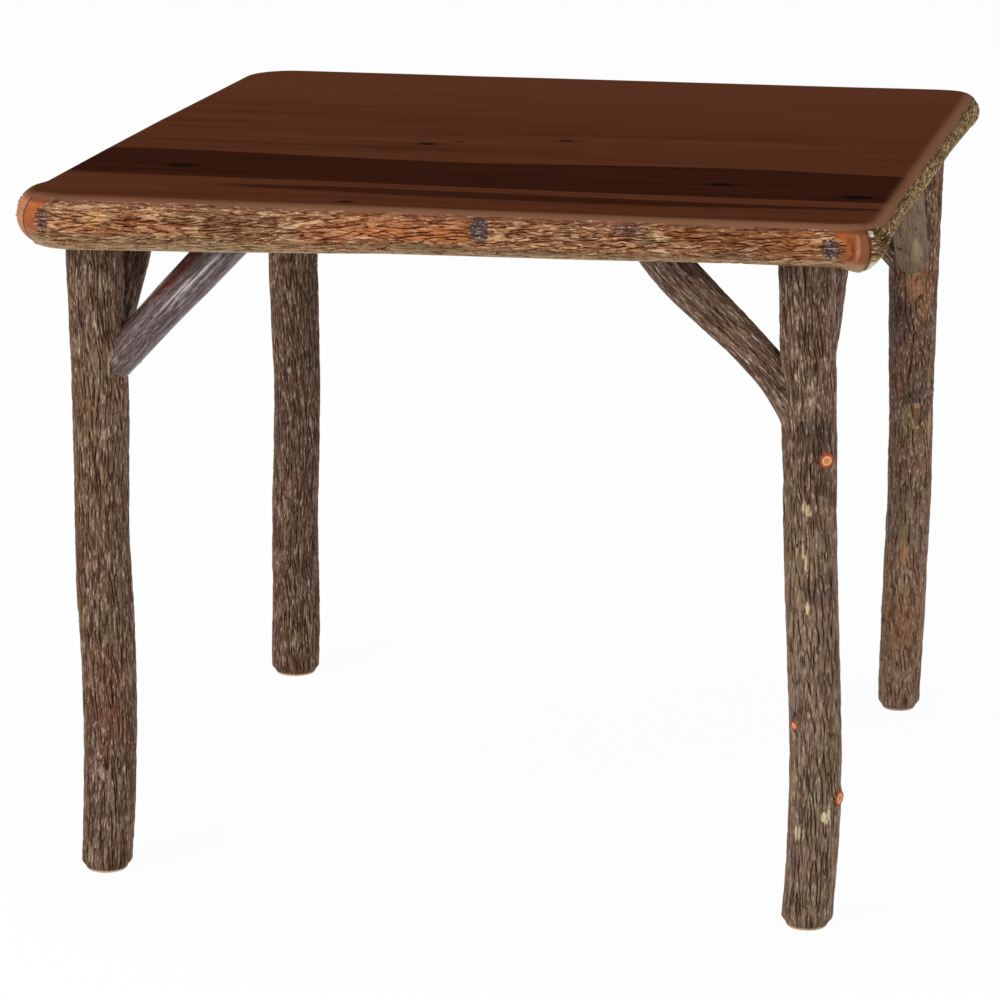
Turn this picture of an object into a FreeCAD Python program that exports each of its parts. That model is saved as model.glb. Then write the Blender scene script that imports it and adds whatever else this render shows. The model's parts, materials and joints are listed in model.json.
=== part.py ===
import FreeCAD, Part
import math
import os
import Sketcher
from FreeCAD import Placement, Rotation, Vector

# A rustic hickory table: six edge-glued boards framed by four half-log rails, on four natural
# log legs, each of them stayed by two log braces at about 45 degrees.
# Millimetres. +Z is up, +X is the right of the table and -Y is its front.
# The origin is on the floor under the middle of the top.

os.makedirs("parts", exist_ok=True)
doc = FreeCAD.newDocument("rustic_table")
sheet = doc.addObject("Spreadsheet::Sheet", "sizes")

# Driving dimensions

SIZES = {
    "table_height": 762.0,
    "table_width": 927.0,
    "table_depth": 932.0,
    # boards of the top
    "board_thickness": 28.0,
    # half-log rails round the top
    "rail_depth": 34.0,
    "rail_height": 56.0,
    "rail_wander": 3.0,
    "corner_radius_front_left": 74.0,
    "corner_radius_front_right": 48.0,
    "corner_radius_back_right": 42.0,
    "corner_radius_back_left": 70.0,
    # loose splines that key the rails to the boards
    "spline_thickness": 6.0,
    "spline_bite": 12.0,
    "spline_end_gap": 36.0,
    # log legs
    "leg_inset_side": 75.0,
    "leg_inset_end": 86.0,
    "leg_diameter": 60.0,
    "leg_bow": 16.0,
    "foot_chamfer": 6.0,
    # blocks that the legs bolt to
    "block_length": 118.0,
    "block_thickness": 20.0,
    "block_chamfer": 5.0,
    # log braces
    "brace_diameter": 44.0,
    "brace_reach": 176.0,
    "brace_drop": 182.0,
    "brace_bow": 4.0,
    # battens across the underside of the boards
    "batten_width": 62.0,
    "batten_thickness": 20.0,
    "batten_end_gap": 30.0,
    "batten_gap": 7.0,
    "batten_chamfer": 6.0,
    # leg bolts
    "bolt_diameter": 10.0,
    "bolt_length": 78.0,
    "bolt_head_width": 17.0,
    "bolt_head_height": 7.0,
    # wood screws
    "screw_diameter": 5.0,
    "screw_head_diameter": 10.0,
    "screw_head_height": 3.0,
    "board_screw_length": 38.0,
    "brace_top_screw_length": 45.0,
    "brace_leg_screw_length": 64.0,
    "screw_edge_distance": 14.0,
    "screw_head_sink": 1.0,
    "brace_screw_rise": 24.0,
    "brace_screw_stagger": 12.0,
    # cut-flush branch stubs on the front right leg
    "knot_diameter": 17.0,
    "knot_stand": 2.5,
    # fits
    "clearance": 0.3,
    "overrun": 20.0,
}

# Shares along each log, chosen by eye from the real pieces: where its sections lie between
# the two ends, and how thick and how far out of line the log is there.

LEG_STATION_SHARES = (0.0, 0.126, 0.252, 0.412, 0.539, 0.693, 0.84, 1.0)

LEG_GIRTH_SHARES = {
    "front_left": (0.94, 0.97, 0.98, 1.04, 0.99, 1.02, 1.01, 1.02),
    "front_right": (0.915, 0.92, 0.915, 0.935, 0.93, 0.945, 0.965, 0.97),
    "back_right": (0.86, 0.905, 0.90, 0.905, 0.91, 0.975, 1.03, 1.04),
    "back_left": (1.03, 1.02, 1.00, 0.99, 0.98, 1.04, 1.06, 1.07),
}

# The bow towards the right of the table, then the bow towards its back.
LEG_BOW_SHARES = {
    "front_left": (
        (-0.20, 0.06, 0.22, 0.12, -0.02, 0.24, 0.24, 0.20),
        (-0.30, -0.05, 0.15, 0.26, 0.18, 0.14, -0.05, -0.15),
    ),
    "front_right": (
        (-0.04, 0.27, 0.28, -0.03, -0.33, -0.50, -0.68, -0.92),
        (-0.70, -0.55, -0.20, 0.05, 0.15, 0.12, 0.0, -0.08),
    ),
    "back_right": (
        (0.07, 0.17, 0.34, 0.47, 0.44, 0.34, 0.40, 0.53),
        (-0.75, -0.70, -0.55, -0.38, -0.25, -0.14, 0.0, 0.05),
    ),
    "back_left": (
        (0.09, 0.18, 0.08, 0.23, 0.28, 0.06, 0.02, 0.0),
        (-1.80, -1.60, -1.25, -0.85, -0.50, -0.20, 0.0, 0.0),
    ),
}

# Stations along a rail, from its left end to its right end as seen from outside the table.
RAIL_STATION_SHARES = (-1.0, -0.83, -0.5, -0.1, 0.35, 0.83, 1.0)

RAIL_HEIGHT_SHARES = {
    "front": (1.04, 1.04, 0.98, 0.865, 0.83, 0.75, 0.61),
    "right": (0.61, 0.50, 0.57, 0.60, 0.55, 0.71, 0.78),
    "back": (0.78, 0.78, 0.78, 0.79, 0.86, 0.86, 0.86),
    "left": (0.86, 0.86, 0.85, 0.88, 0.93, 1.04, 1.04),
}

# How far each rail's crest falls back from the straight line.
RAIL_WANDER_SHARES = {
    "front": (0.0, 0.0, 0.5, 0.0, 0.6, 0.0, 0.0),
    "right": (0.0, 0.0, 1.0, 0.7, 0.1, 0.0, 0.0),
    "back": (0.0, 0.0, 0.7, 0.3, 0.5, 0.0, 0.0),
    "left": (0.0, 0.0, 0.3, 0.2, 1.0, 2.0, 0.0),
}

# How far the round of a half log runs in over its top and bottom, for its height.
RAIL_SHOULDER_SHARE = 0.36

# Stations along a brace, from the leg's centre line to the underside of the boards.
BRACE_STATION_SHARES = (0.0, 0.38, 0.72, 1.0)

# Each brace's girth at those stations, then its bow upwards there.
BRACE_GIRTH_SHARES = {
    "front_brace_left": (0.93, 0.96, 1.02, 1.03),
    "front_brace_right": (0.87, 0.90, 1.06, 0.98),
    "left_brace_front": (0.94, 0.97, 1.03, 1.02),
    "right_brace_front": (0.86, 0.97, 1.01, 1.02),
    "back_brace_left": (0.94, 1.00, 0.98, 1.03),
    "back_brace_right": (0.87, 0.94, 0.98, 1.00),
    "left_brace_back": (0.95, 1.02, 0.98, 1.01),
    "right_brace_back": (0.87, 0.97, 1.01, 1.03),
}
BRACE_BOW_SHARES = {
    "front_brace_left": (0.0, 0.3, 0.4, 0.0),
    "front_brace_right": (0.0, 0.4, -0.6, 0.0),
    "left_brace_front": (0.0, -0.6, -0.6, 0.0),
    "right_brace_front": (0.0, 0.6, 0.6, 0.0),
    "back_brace_left": (0.0, -0.7, -0.7, 0.0),
    "back_brace_right": (0.0, 0.5, 0.3, 0.0),
    "left_brace_back": (0.0, 0.6, 0.8, 0.0),
    "right_brace_back": (0.0, -0.4, -0.6, 0.0),
}

# Board widths from the front to the back, of the depth inside the rails.
BOARD_WIDTH_SHARES = (0.132, 0.183, 0.166, 0.164, 0.174, 0.181)

# Branch stubs: height of the leg, bearing round it in degrees, and share of the full size.
KNOT_SHARES = ((0.712, -46.5, 1.0), (0.312, -129.0, 0.6), (0.202, -21.0, 0.95))

for row, (name, value) in enumerate(SIZES.items(), start=1):
    sheet.set(f"A{row}", name)
    sheet.set(f"B{row}", str(value))
    sheet.setAlias(f"B{row}", name)
doc.recompute()

# Each corner of the table: its side along X and its end along Y.
CORNERS = {
    "front_left": (-1, -1),
    "front_right": (1, -1),
    "back_right": (1, 1),
    "back_left": (-1, 1),
}

UNDERSIDE = "(sizes.table_height - sizes.board_thickness)"
BLOCK_BOTTOM = "(sizes.table_height - sizes.board_thickness - sizes.block_thickness)"
FIELD_HALF_WIDTH = "(sizes.table_width / 2 - sizes.rail_depth)"
FIELD_HALF_DEPTH = "(sizes.table_depth / 2 - sizes.rail_depth)"
BOLT_HEAD_SEAT = f"({UNDERSIDE} - sizes.bolt_head_height - sizes.clearance)"
PILOT_RADIUS = "(sizes.screw_diameter / 2 + sizes.clearance)"
HEAD_RADIUS = "(sizes.screw_head_diameter / 2 + sizes.clearance)"

# Lean of the braces from upright.
BRACE_LEAN = "atan2(sizes.brace_reach; sizes.brace_drop)"
BRACE_FOOT = f"({UNDERSIDE} - sizes.brace_drop)"

# The battens lie just inside the upper ends of the front and back braces.
BRACE_TOP_END = (
    "(sizes.table_width / 2 - sizes.leg_inset_side - sizes.leg_bow - sizes.brace_reach"
    f" - sizes.brace_diameter / 2 / cos({BRACE_LEAN}))"
)
BATTEN_LINE = f"({BRACE_TOP_END} - sizes.batten_gap - sizes.batten_width / 2)"

# Logs, branch stubs, screws, bolts and their holes have flat sides, to keep facets few.
LOG_SIDES = 16
KNOT_SIDES = 12
FASTENER_SIDES = 6
HEX_SIDES = 6

BOARD_COUNT = len(BOARD_WIDTH_SHARES)
UP = Rotation()

nodes = []


def value_of(formula):
    """A formula over the sheet, worked out."""
    return float(sheet.evalExpression(formula))


def keep(thing, name):
    """Label a sub-part and list it for writing."""
    thing.Label = name
    nodes.append(thing)
    return thing


def place(thing, x, y, z):
    """Tie an object's place to three formulas over the sheet."""
    for axis, formula in zip("xyz", (x, y, z)):
        thing.setExpression(f"Placement.Base.{axis}", formula)


def between(shares, values, share):
    """The value at a share along a log, on the straight line between its stations."""
    for low in range(len(shares) - 1):
        if share <= shares[low + 1]:
            part = (share - shares[low]) / (shares[low + 1] - shares[low])
            return values[low] + part * (values[low + 1] - values[low])
    return values[-1]


# Features that the bodies are made of


def new_body(name):
    return doc.addObject("PartDesign::Body", name)


def new_sketch(body, role, name, offset):
    """A sketch on one of its body's origin planes, moved by formulas in the plane's own axes."""
    sketch = body.newObject("Sketcher::SketchObject", name)
    plane = [feature for feature in body.Origin.OriginFeatures if feature.Role == role]
    sketch.AttachmentSupport = [(plane[0], "")]
    sketch.MapMode = "FlatFace"
    for axis, formula in zip("xyz", offset):
        sketch.setExpression(f"AttachmentOffset.Base.{axis}", formula)
    return sketch


def polygon(sketch, corners):
    """A closed outline through corners that are pairs of formulas."""
    points = [Vector(value_of(x), value_of(y)) for x, y in corners]
    count = len(points)
    for index in range(count):
        sketch.addGeometry(Part.LineSegment(points[index], points[(index + 1) % count]))
    for index in range(count):
        sketch.addConstraint(Sketcher.Constraint("Coincident", index, 2, (index + 1) % count, 1))
    for index, (x, y) in enumerate(corners):
        for kind, formula in (("DistanceX", x), ("DistanceY", y)):
            number = sketch.addConstraint(
                Sketcher.Constraint(kind, -1, 1, index, 1, value_of(formula))
            )
            sketch.setExpression(f"Constraints[{number}]", formula)


def rectangle(sketch, low_x, low_y, high_x, high_y):
    polygon(sketch, ((low_x, low_y), (high_x, low_y), (high_x, high_y), (low_x, high_y)))


def loft(body, sections, name):
    feature = body.newObject("PartDesign::AdditiveLoft", name)
    feature.Profile = sections[0]
    feature.Sections = sections[1:]
    feature.Ruled = True
    return feature


def pad(body, sketch, length, name):
    feature = body.newObject("PartDesign::Pad", name)
    feature.Profile = sketch
    feature.setExpression("Length", length)
    return feature


def box_cut(body, name, low, lengths):
    """A box-shaped groove, by formulas for its lowest corner and its three lengths."""
    feature = body.newObject("PartDesign::SubtractiveBox", name)
    for side, formula in zip(("Length", "Width", "Height"), lengths):
        feature.setExpression(side, formula)
    place(feature, *low)
    return feature


def drill(body, name, foot, radius, depth):
    """A hole along +Z from a foot point."""
    feature = body.newObject("PartDesign::SubtractivePrism", name)
    feature.Polygon = FASTENER_SIDES
    feature.setExpression("Circumradius", f"{radius} / cos({180 / FASTENER_SIDES})")
    feature.setExpression("Height", depth)
    place(feature, *foot)
    return feature


# Pieces that are made of whole solids: logs, screws and bolts


def prism(name, sides, radius, length, start, turn=UP):
    """A round bar with flat sides, whose flats lie at the radius."""
    bar = doc.addObject("Part::Prism", name)
    bar.Polygon = sides
    bar.setExpression("Circumradius", f"{radius} / cos({180 / sides})")
    bar.setExpression("Height", length)
    bar.Placement.Rotation = turn
    place(bar, *start)
    return bar


def log_loft(name, rows, axis=None):
    """A log through sections that are formulas for place and radius, leaned about an axis."""
    rings = []
    for x, y, z, radius in rows:
        ring = doc.addObject("Part::RegularPolygon", f"{name}_section")
        ring.Polygon = LOG_SIDES
        ring.setExpression("Circumradius", radius)
        if axis is not None:
            ring.Placement.Rotation = Rotation(axis, value_of(BRACE_LEAN))
            ring.setExpression("Placement.Rotation.Angle", BRACE_LEAN)
        place(ring, x, y, z)
        rings.append(ring)
    log = doc.addObject("Part::Loft", f"{name}_log")
    log.Sections = rings
    log.Solid = True
    log.Ruled = True
    return log


def cut(name, base, tool):
    result = doc.addObject("Part::Cut", name)
    result.Base = base
    result.Tool = tool
    return result


def fuse(name, base, tool):
    result = doc.addObject("Part::Fuse", name)
    result.Base = base
    result.Tool = tool
    return result


def compound(name, things):
    result = doc.addObject("Part::Compound", name)
    result.Links = things
    return result


def along(start, way, distance):
    """Formulas for a point at a distance from the start, along a unit direction."""
    return tuple(f"{value} + {step} * ({distance})" for value, step in zip(start, way))


def turn_to(way):
    return Rotation(Vector(0, 0, 1), Vector(*way))


def screw(name, start, way, length):
    """A pan-head screw that is driven along its way; the start is the outer face of its head."""
    turn = turn_to(way)
    head = prism(
        f"{name}_head",
        FASTENER_SIDES,
        "(sizes.screw_head_diameter / 2)",
        "sizes.screw_head_height",
        start,
        turn,
    )
    shank = prism(f"{name}_shank", FASTENER_SIDES, "(sizes.screw_diameter / 2)", length, start, turn)
    return fuse(name, head, shank)


def screw_hole(name, start, way, length):
    """The way in for a screw: a sink for its head, open outwards, and a hole for its shank."""
    turn = turn_to(way)
    mouth = along(start, way, "-sizes.overrun")
    sink = prism(
        f"{name}_sink",
        FASTENER_SIDES,
        HEAD_RADIUS,
        "sizes.overrun + sizes.screw_head_height + sizes.clearance",
        mouth,
        turn,
    )
    hole = prism(f"{name}_way", FASTENER_SIDES, PILOT_RADIUS, f"{length} + sizes.clearance", start, turn)
    return fuse(f"{name}_hole", sink, hole)


# Legs and braces: bowed logs. Each brace is coped round its leg, cut flat under the boards,
# and held by a level screw into the leg and an upright screw into a board.

# Each brace: the corner of its leg, and the way that it leans out from it.
BRACES = {
    "front_brace_left": ("front_left", (1, 0)),
    "front_brace_right": ("front_right", (-1, 0)),
    "left_brace_front": ("front_left", (0, 1)),
    "right_brace_front": ("front_right", (0, 1)),
    "back_brace_left": ("back_left", (1, 0)),
    "back_brace_right": ("back_right", (-1, 0)),
    "left_brace_back": ("back_left", (0, -1)),
    "right_brace_back": ("back_right", (0, -1)),
}


def leg_at(corner, share):
    """Formulas for the centre and radius of a leg at a share of its height."""
    side, end = CORNERS[corner]
    bow_x, bow_y = (between(LEG_STATION_SHARES, bow, share) for bow in LEG_BOW_SHARES[corner])
    girth = between(LEG_STATION_SHARES, LEG_GIRTH_SHARES[corner], share)
    x = f"({side} * (sizes.table_width / 2 - sizes.leg_inset_side) + {bow_x} * sizes.leg_bow)"
    y = f"({end} * (sizes.table_depth / 2 - sizes.leg_inset_end) + {bow_y} * sizes.leg_bow)"
    return x, y, f"({girth} * sizes.leg_diameter / 2)"


def leg_rows(corner, shares):
    """Sections of a leg at shares of its height."""
    rows = []
    for share in shares:
        x, y, radius = leg_at(corner, share)
        rows.append((x, y, f"{share} * {BLOCK_BOTTOM}", radius))
    return rows


def foot_rows(corner):
    """The two sections of a leg's chamfered foot."""
    x, y, radius = leg_at(corner, 0.0)
    return [
        (x, y, "0", f"{radius} - sizes.foot_chamfer"),
        (x, y, "sizes.foot_chamfer", radius),
    ]


def brace_foot(name):
    """Formulas for the point of a leg's centre line that a brace leans out from."""
    corner = BRACES[name][0]
    x, y, radius = leg_at(corner, value_of(f"{BRACE_FOOT} / {BLOCK_BOTTOM}"))
    return x, y, BRACE_FOOT


def brace_rows(name):
    foot_x, foot_y, foot_z = brace_foot(name)
    way_x, way_y = BRACES[name][1]
    rows = []
    for index, share in enumerate(BRACE_STATION_SHARES):
        girth = BRACE_GIRTH_SHARES[name][index]
        bow = f"{BRACE_BOW_SHARES[name][index]} * sizes.brace_bow"
        past = "sizes.brace_diameter" if share == 1.0 else "0"
        out = f"({share} * sizes.brace_reach - cos({BRACE_LEAN}) * {bow} + sin({BRACE_LEAN}) * {past})"
        rise = f"{share} * sizes.brace_drop + sin({BRACE_LEAN}) * {bow} + cos({BRACE_LEAN}) * {past}"
        rows.append(
            (
                f"{foot_x} + {way_x} * {out}",
                f"{foot_y} + {way_y} * {out}",
                f"{foot_z} + {rise}",
                f"{girth} * sizes.brace_diameter / 2",
            )
        )
    return rows


def brace_radius(name, share):
    girth = between(BRACE_STATION_SHARES, BRACE_GIRTH_SHARES[name], share)
    return f"({girth} * sizes.brace_diameter / 2)"


def leg_screw_start(name):
    """Outer face of the head of the level screw, just sunk in the underside of the brace."""
    foot_x, foot_y, foot_z = brace_foot(name)
    way_x, way_y = BRACES[name][1]
    stagger = "sizes.brace_screw_stagger" if way_y else "0"
    rise = f"(sizes.brace_screw_rise + {stagger})"
    under = f"{brace_radius(name, 0.3)} / sin({BRACE_LEAN})"
    out = f"({rise} + {under} - {HEAD_RADIUS}) * sizes.brace_reach / sizes.brace_drop"
    return f"{foot_x} + {way_x} * {out}", f"{foot_y} + {way_y} * {out}", f"{foot_z} + {rise}"


def top_screw_start(name):
    """Outer face of the head of the upright screw, just sunk in the underside of the brace."""
    foot_x, foot_y, foot_z = brace_foot(name)
    way_x, way_y = BRACES[name][1]
    under = f"{brace_radius(name, 1.0)} / sin({BRACE_LEAN})"
    return (
        f"{foot_x} + {way_x} * sizes.brace_reach",
        f"{foot_y} + {way_y} * sizes.brace_reach",
        f"{UNDERSIDE} - {under} + {HEAD_RADIUS} * sizes.brace_drop / sizes.brace_reach",
    )


def leg_screw(name):
    way_x, way_y = BRACES[name][1]
    return leg_screw_start(name), (-way_x, -way_y, 0), "sizes.brace_leg_screw_length"


def top_screw(name):
    return top_screw_start(name), (0, 0, 1), "sizes.brace_top_screw_length"


above = doc.addObject("Part::Box", "above_the_underside")
above.setExpression("Length", "sizes.table_width")
above.setExpression("Width", "sizes.table_depth")
above.setExpression("Height", "2 * sizes.brace_diameter")
place(above, "-sizes.table_width / 2", "-sizes.table_depth / 2", UNDERSIDE)

# Each brace's holes: the one into its leg, then the one into the boards.
leg_holes = {name: screw_hole(f"{name}_leg_screw", *leg_screw(name)) for name in BRACES}
top_holes = {name: screw_hole(f"{name}_top_screw", *top_screw(name)) for name in BRACES}


def add_knots(name, corner, log):
    """Flush-cut branch stubs, which stand a little proud of the bark."""
    for share, bearing, part in KNOT_SHARES:
        x, y, radius = leg_at(corner, share)
        bearing_way = (math.cos(math.radians(bearing)), math.sin(math.radians(bearing)), 0)
        stub = prism(
            f"{name}_stub",
            KNOT_SIDES,
            f"({part} * sizes.knot_diameter / 2)",
            f"{radius} + sizes.knot_stand",
            (x, y, f"{share} * {BLOCK_BOTTOM}"),
            turn_to(bearing_way),
        )
        log = fuse(f"{name}_with_stub", log, stub)
    return log


def make_leg(corner):
    name = f"{corner}_leg"
    log = log_loft(name, foot_rows(corner) + leg_rows(corner, LEG_STATION_SHARES[1:]))
    if corner == "front_right":
        log = add_knots(name, corner, log)
    x, y, radius = leg_at(corner, 1.0)
    bolt_hole = prism(
        f"{name}_bolt_hole",
        FASTENER_SIDES,
        "(sizes.bolt_diameter / 2 + sizes.clearance)",
        "sizes.bolt_length + sizes.clearance",
        (x, y, f"{BOLT_HEAD_SEAT} - sizes.bolt_length - sizes.clearance"),
    )
    own_holes = [hole for brace, hole in leg_holes.items() if BRACES[brace][0] == corner]
    holes = compound(f"{name}_holes", [bolt_hole] + own_holes)
    return keep(cut(name, log, holes), name)


def make_brace(name):
    corner, (way_x, way_y) = BRACES[name]
    log = log_loft(name, brace_rows(name), Vector(-way_y, way_x, 0))
    coped = cut(f"{name}_coped", log, cope_logs[corner])
    flat = cut(f"{name}_flat", coped, above)
    holes = compound(f"{name}_holes", [leg_holes[name], top_holes[name]])
    return keep(cut(name, flat, holes), name)


def cope_log(corner):
    """A leg's upper part, larger by the clearance, that its braces are coped to."""
    shares = [share for share in LEG_STATION_SHARES if share > COPE_START_SHARE]
    rows = [(x, y, z, f"{radius} + sizes.clearance") for x, y, z, radius in leg_rows(corner, shares)]
    return log_loft(f"{corner}_cope", rows)


# The braces meet their legs above this share of a leg's height.
COPE_START_SHARE = 0.5

for corner in CORNERS:
    make_leg(corner)
cope_logs = {corner: cope_log(corner) for corner in CORNERS}
for name in BRACES:
    make_brace(name)


# Half-log rails: a D section lofted along the edge, mitred at both ends, with each outer
# corner turned round. A rail lies along X with its bark towards -Y, then turns to its side.

RAILS = {
    "front": (0, "sizes.table_width", "sizes.table_depth", "front_left", "front_right"),
    "right": (90, "sizes.table_depth", "sizes.table_width", "front_right", "back_right"),
    "back": (180, "sizes.table_width", "sizes.table_depth", "back_right", "back_left"),
    "left": (270, "sizes.table_depth", "sizes.table_width", "back_left", "front_left"),
}


def log_arc(sketch, crest, height, height_value):
    """The round of a half log, from its top shoulder down to its bottom one."""
    shoulder = value_of(f"{crest} + {RAIL_SHOULDER_SHARE} * {height}")
    arc = Part.Arc(
        Vector(shoulder, 0),
        Vector(value_of(crest), -height_value / 2),
        Vector(shoulder, -height_value),
    )
    sketch.addGeometry(arc)
    for point, drop in ((1, "0"), (2, height)):
        across = sketch.addConstraint(
            Sketcher.Constraint("DistanceX", -1, 1, 0, point, shoulder)
        )
        sketch.setExpression(f"Constraints[{across}]", f"{crest} + {RAIL_SHOULDER_SHARE} * {height}")
        if drop == "0":
            sketch.addConstraint(Sketcher.Constraint("PointOnObject", 0, point, -1))
        else:
            down = sketch.addConstraint(
                Sketcher.Constraint("DistanceY", 0, point, -1, 1, height_value)
            )
            sketch.setExpression(f"Constraints[{down}]", drop)
    share = RAIL_SHOULDER_SHARE
    rounding = f"({share * share} + 0.25) / {2 * share} * {height}"
    number = sketch.addConstraint(Sketcher.Constraint("Radius", 0, value_of(rounding)))
    sketch.setExpression(f"Constraints[{number}]", rounding)


def close_outline(sketch, corners, height_value):
    """Straight sides from the arc's lower end round to its upper end."""
    arc = sketch.Geometry[0]
    points = [arc.EndPoint] + [Vector(value_of(x), value_of(y)) for x, y in corners]
    points.append(arc.StartPoint)
    for index in range(len(points) - 1):
        sketch.addGeometry(Part.LineSegment(points[index], points[index + 1]))
    last = len(points) - 1
    sketch.addConstraint(Sketcher.Constraint("Coincident", 0, 2, 1, 1))
    for index in range(1, last):
        sketch.addConstraint(Sketcher.Constraint("Coincident", index, 2, index + 1, 1))
    sketch.addConstraint(Sketcher.Constraint("Coincident", last, 2, 0, 1))
    for index, (x, y) in enumerate(corners, start=1):
        for kind, formula in (("DistanceX", x), ("DistanceY", y)):
            number = sketch.addConstraint(
                Sketcher.Constraint(kind, -1, 1, index, 2, value_of(formula))
            )
            sketch.setExpression(f"Constraints[{number}]", formula)


def rail_section(body, rail, index, half_length, crest_line):
    """A half log's D section at one station, seen with the bark on the left."""
    height = f"{RAIL_HEIGHT_SHARES[rail][index]} * sizes.rail_height"
    wander = f"{RAIL_WANDER_SHARES[rail][index]} * sizes.rail_wander"
    offset = (crest_line, "sizes.table_height", f"{RAIL_STATION_SHARES[index]} * {half_length}")
    sketch = new_sketch(body, "YZ_Plane", f"{body.Name}_section", offset)
    log_arc(sketch, wander, height, value_of(height))
    close_outline(
        sketch, (("sizes.rail_depth", f"-{height}"), ("sizes.rail_depth", "0")), value_of(height)
    )
    return sketch


def round_corner(body, rail, index, half_length, crest_line, corner):
    """Turn the half log's own round about an upright axis inside the corner."""
    way = 1 if index else -1
    radius = f"sizes.corner_radius_{corner}"
    height = f"{RAIL_HEIGHT_SHARES[rail][index]} * sizes.rail_height"
    offset = (
        f"{crest_line} + {radius}",
        "sizes.table_height",
        f"{way} * ({half_length} - {radius})",
    )
    sketch = new_sketch(body, "YZ_Plane", f"{body.Name}_rounding", offset)
    log_arc(sketch, f"-{radius}", height, value_of(height))
    shoulder = f"{RAIL_SHOULDER_SHARE} * {height} - {radius}"
    far = f"-2 * {radius}"
    close_outline(
        sketch,
        (
            (shoulder, f"-{height} - sizes.overrun"),
            (far, f"-{height} - sizes.overrun"),
            (far, "sizes.overrun"),
            (shoulder, "sizes.overrun"),
        ),
        value_of(height),
    )
    groove = body.newObject("PartDesign::Groove", f"{body.Name}_corner")
    groove.Profile = sketch
    groove.ReferenceAxis = (sketch, ["V_Axis"])
    groove.Angle = 90
    groove.Reversed = way < 0


def mitre_ends(body, half_length, crest_line):
    for way in (-1, 1):
        end = f"({half_length} + sizes.overrun)"
        inner = f"({half_length} - sizes.rail_depth - sizes.overrun)"
        outline = (
            (f"{way} * {end}", f"{crest_line} - sizes.overrun"),
            (f"{way} * {end}", f"{crest_line} + sizes.rail_depth + sizes.overrun"),
            (f"{way} * {inner}", f"{crest_line} + sizes.rail_depth + sizes.overrun"),
        )
        sketch = new_sketch(body, "XY_Plane", f"{body.Name}_mitre", ("0", "0", "0"))
        polygon(sketch, outline)
        pocket = body.newObject("PartDesign::Pocket", f"{body.Name}_mitre_cut")
        pocket.Profile = sketch
        pocket.Type = "ThroughAll"
        pocket.Reversed = True


def spline_groove(body, half_length, inner_line, depth):
    """A stopped groove along a rail's sawn back, or along the edge of the boards."""
    half = f"({half_length} - sizes.rail_depth - sizes.spline_end_gap)"
    low = (
        f"-{half}",
        inner_line,
        "sizes.table_height - (sizes.board_thickness + sizes.spline_thickness) / 2",
    )
    return box_cut(body, f"{body.Name}_groove", low, (f"2 * {half}", depth, "sizes.spline_thickness"))


def make_rail(rail):
    turn, length, across, left_corner, right_corner = RAILS[rail]
    body = new_body(f"{rail}_rail")
    body.Placement = Placement(Vector(), Rotation(Vector(0, 0, 1), turn))
    half_length = f"{length} / 2"
    crest_line = f"-{across} / 2"
    last = len(RAIL_STATION_SHARES) - 1
    sections = [
        rail_section(body, rail, index, f"({half_length})", crest_line) for index in range(last + 1)
    ]
    loft(body, sections, f"{body.Name}_log")
    for index, corner in ((0, left_corner), (last, right_corner)):
        round_corner(body, rail, index, f"({half_length})", crest_line, corner)
    mitre_ends(body, f"({half_length})", crest_line)
    inner_line = f"{crest_line} + sizes.rail_depth - sizes.spline_bite"
    spline_groove(body, half_length, inner_line, "sizes.spline_bite + sizes.overrun")
    return keep(body, f"{rail}_rail")


for rail in RAILS:
    make_rail(rail)


# Splines: thin strips that fill the grooves of rail and boards alike


def make_spline(rail):
    turn, length, across = RAILS[rail][:3]
    strip = doc.addObject("Part::Box", f"{rail}_spline")
    half = f"({length} / 2 - sizes.rail_depth - sizes.spline_end_gap - sizes.clearance)"
    inner = f"({across} / 2 - sizes.rail_depth)"
    bite = "(sizes.spline_bite - sizes.clearance)"
    low = "sizes.table_height - (sizes.board_thickness + sizes.spline_thickness) / 2"
    strip.setExpression("Length", f"2 * {half}")
    strip.setExpression("Width", f"2 * {bite}")
    strip.setExpression("Height", "sizes.spline_thickness")
    strip.Placement.Rotation = Rotation(Vector(0, 0, 1), turn)
    start_x, start_y = f"-{half}", f"-{inner} - {bite}"
    turned = {
        0: (start_x, start_y),
        90: (f"{inner} + {bite}", start_x),
        180: (half, f"{inner} + {bite}"),
        270: (start_y, half),
    }
    place(strip, *turned[turn], low)
    return keep(strip, f"{rail}_spline")


for rail in RAILS:
    make_spline(rail)


# Screws that go up through the battens and corner blocks

BLOCK_CORNERS = ((0, 0), (0, 1), (1, 0), (1, 1))


def front_edge(number):
    """Formula for a board's front edge; that of the one past the last is the back edge."""
    return f"({2 * sum(BOARD_WIDTH_SHARES[:number]) - 1} * {FIELD_HALF_DEPTH})"


def batten_screw_places(side):
    """Formulas for a batten's screws, one under the middle of each board."""
    x = f"({side} * {BATTEN_LINE})"
    lines = [f"({front_edge(row)} + {front_edge(row + 1)}) / 2" for row in range(BOARD_COUNT)]
    return [(x, y, f"{UNDERSIDE} - sizes.batten_thickness") for y in lines]


def block_place(corner):
    """Formulas for a block's outer corner, just inside the sawn backs of the rails."""
    side, end = CORNERS[corner]
    x = f"({side} * ({FIELD_HALF_WIDTH} - sizes.clearance))"
    y = f"({end} * ({FIELD_HALF_DEPTH} - sizes.clearance))"
    return x, y


def block_screw_places(corner):
    side, end = CORNERS[corner]
    x, y = block_place(corner)
    step = "(sizes.block_length - 2 * sizes.screw_edge_distance)"
    return [
        (
            f"{x} - {side} * (sizes.screw_edge_distance + {step_x} * {step})",
            f"{y} - {end} * (sizes.screw_edge_distance + {step_y} * {step})",
            BLOCK_BOTTOM,
        )
        for step_x, step_y in BLOCK_CORNERS
    ]


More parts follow.
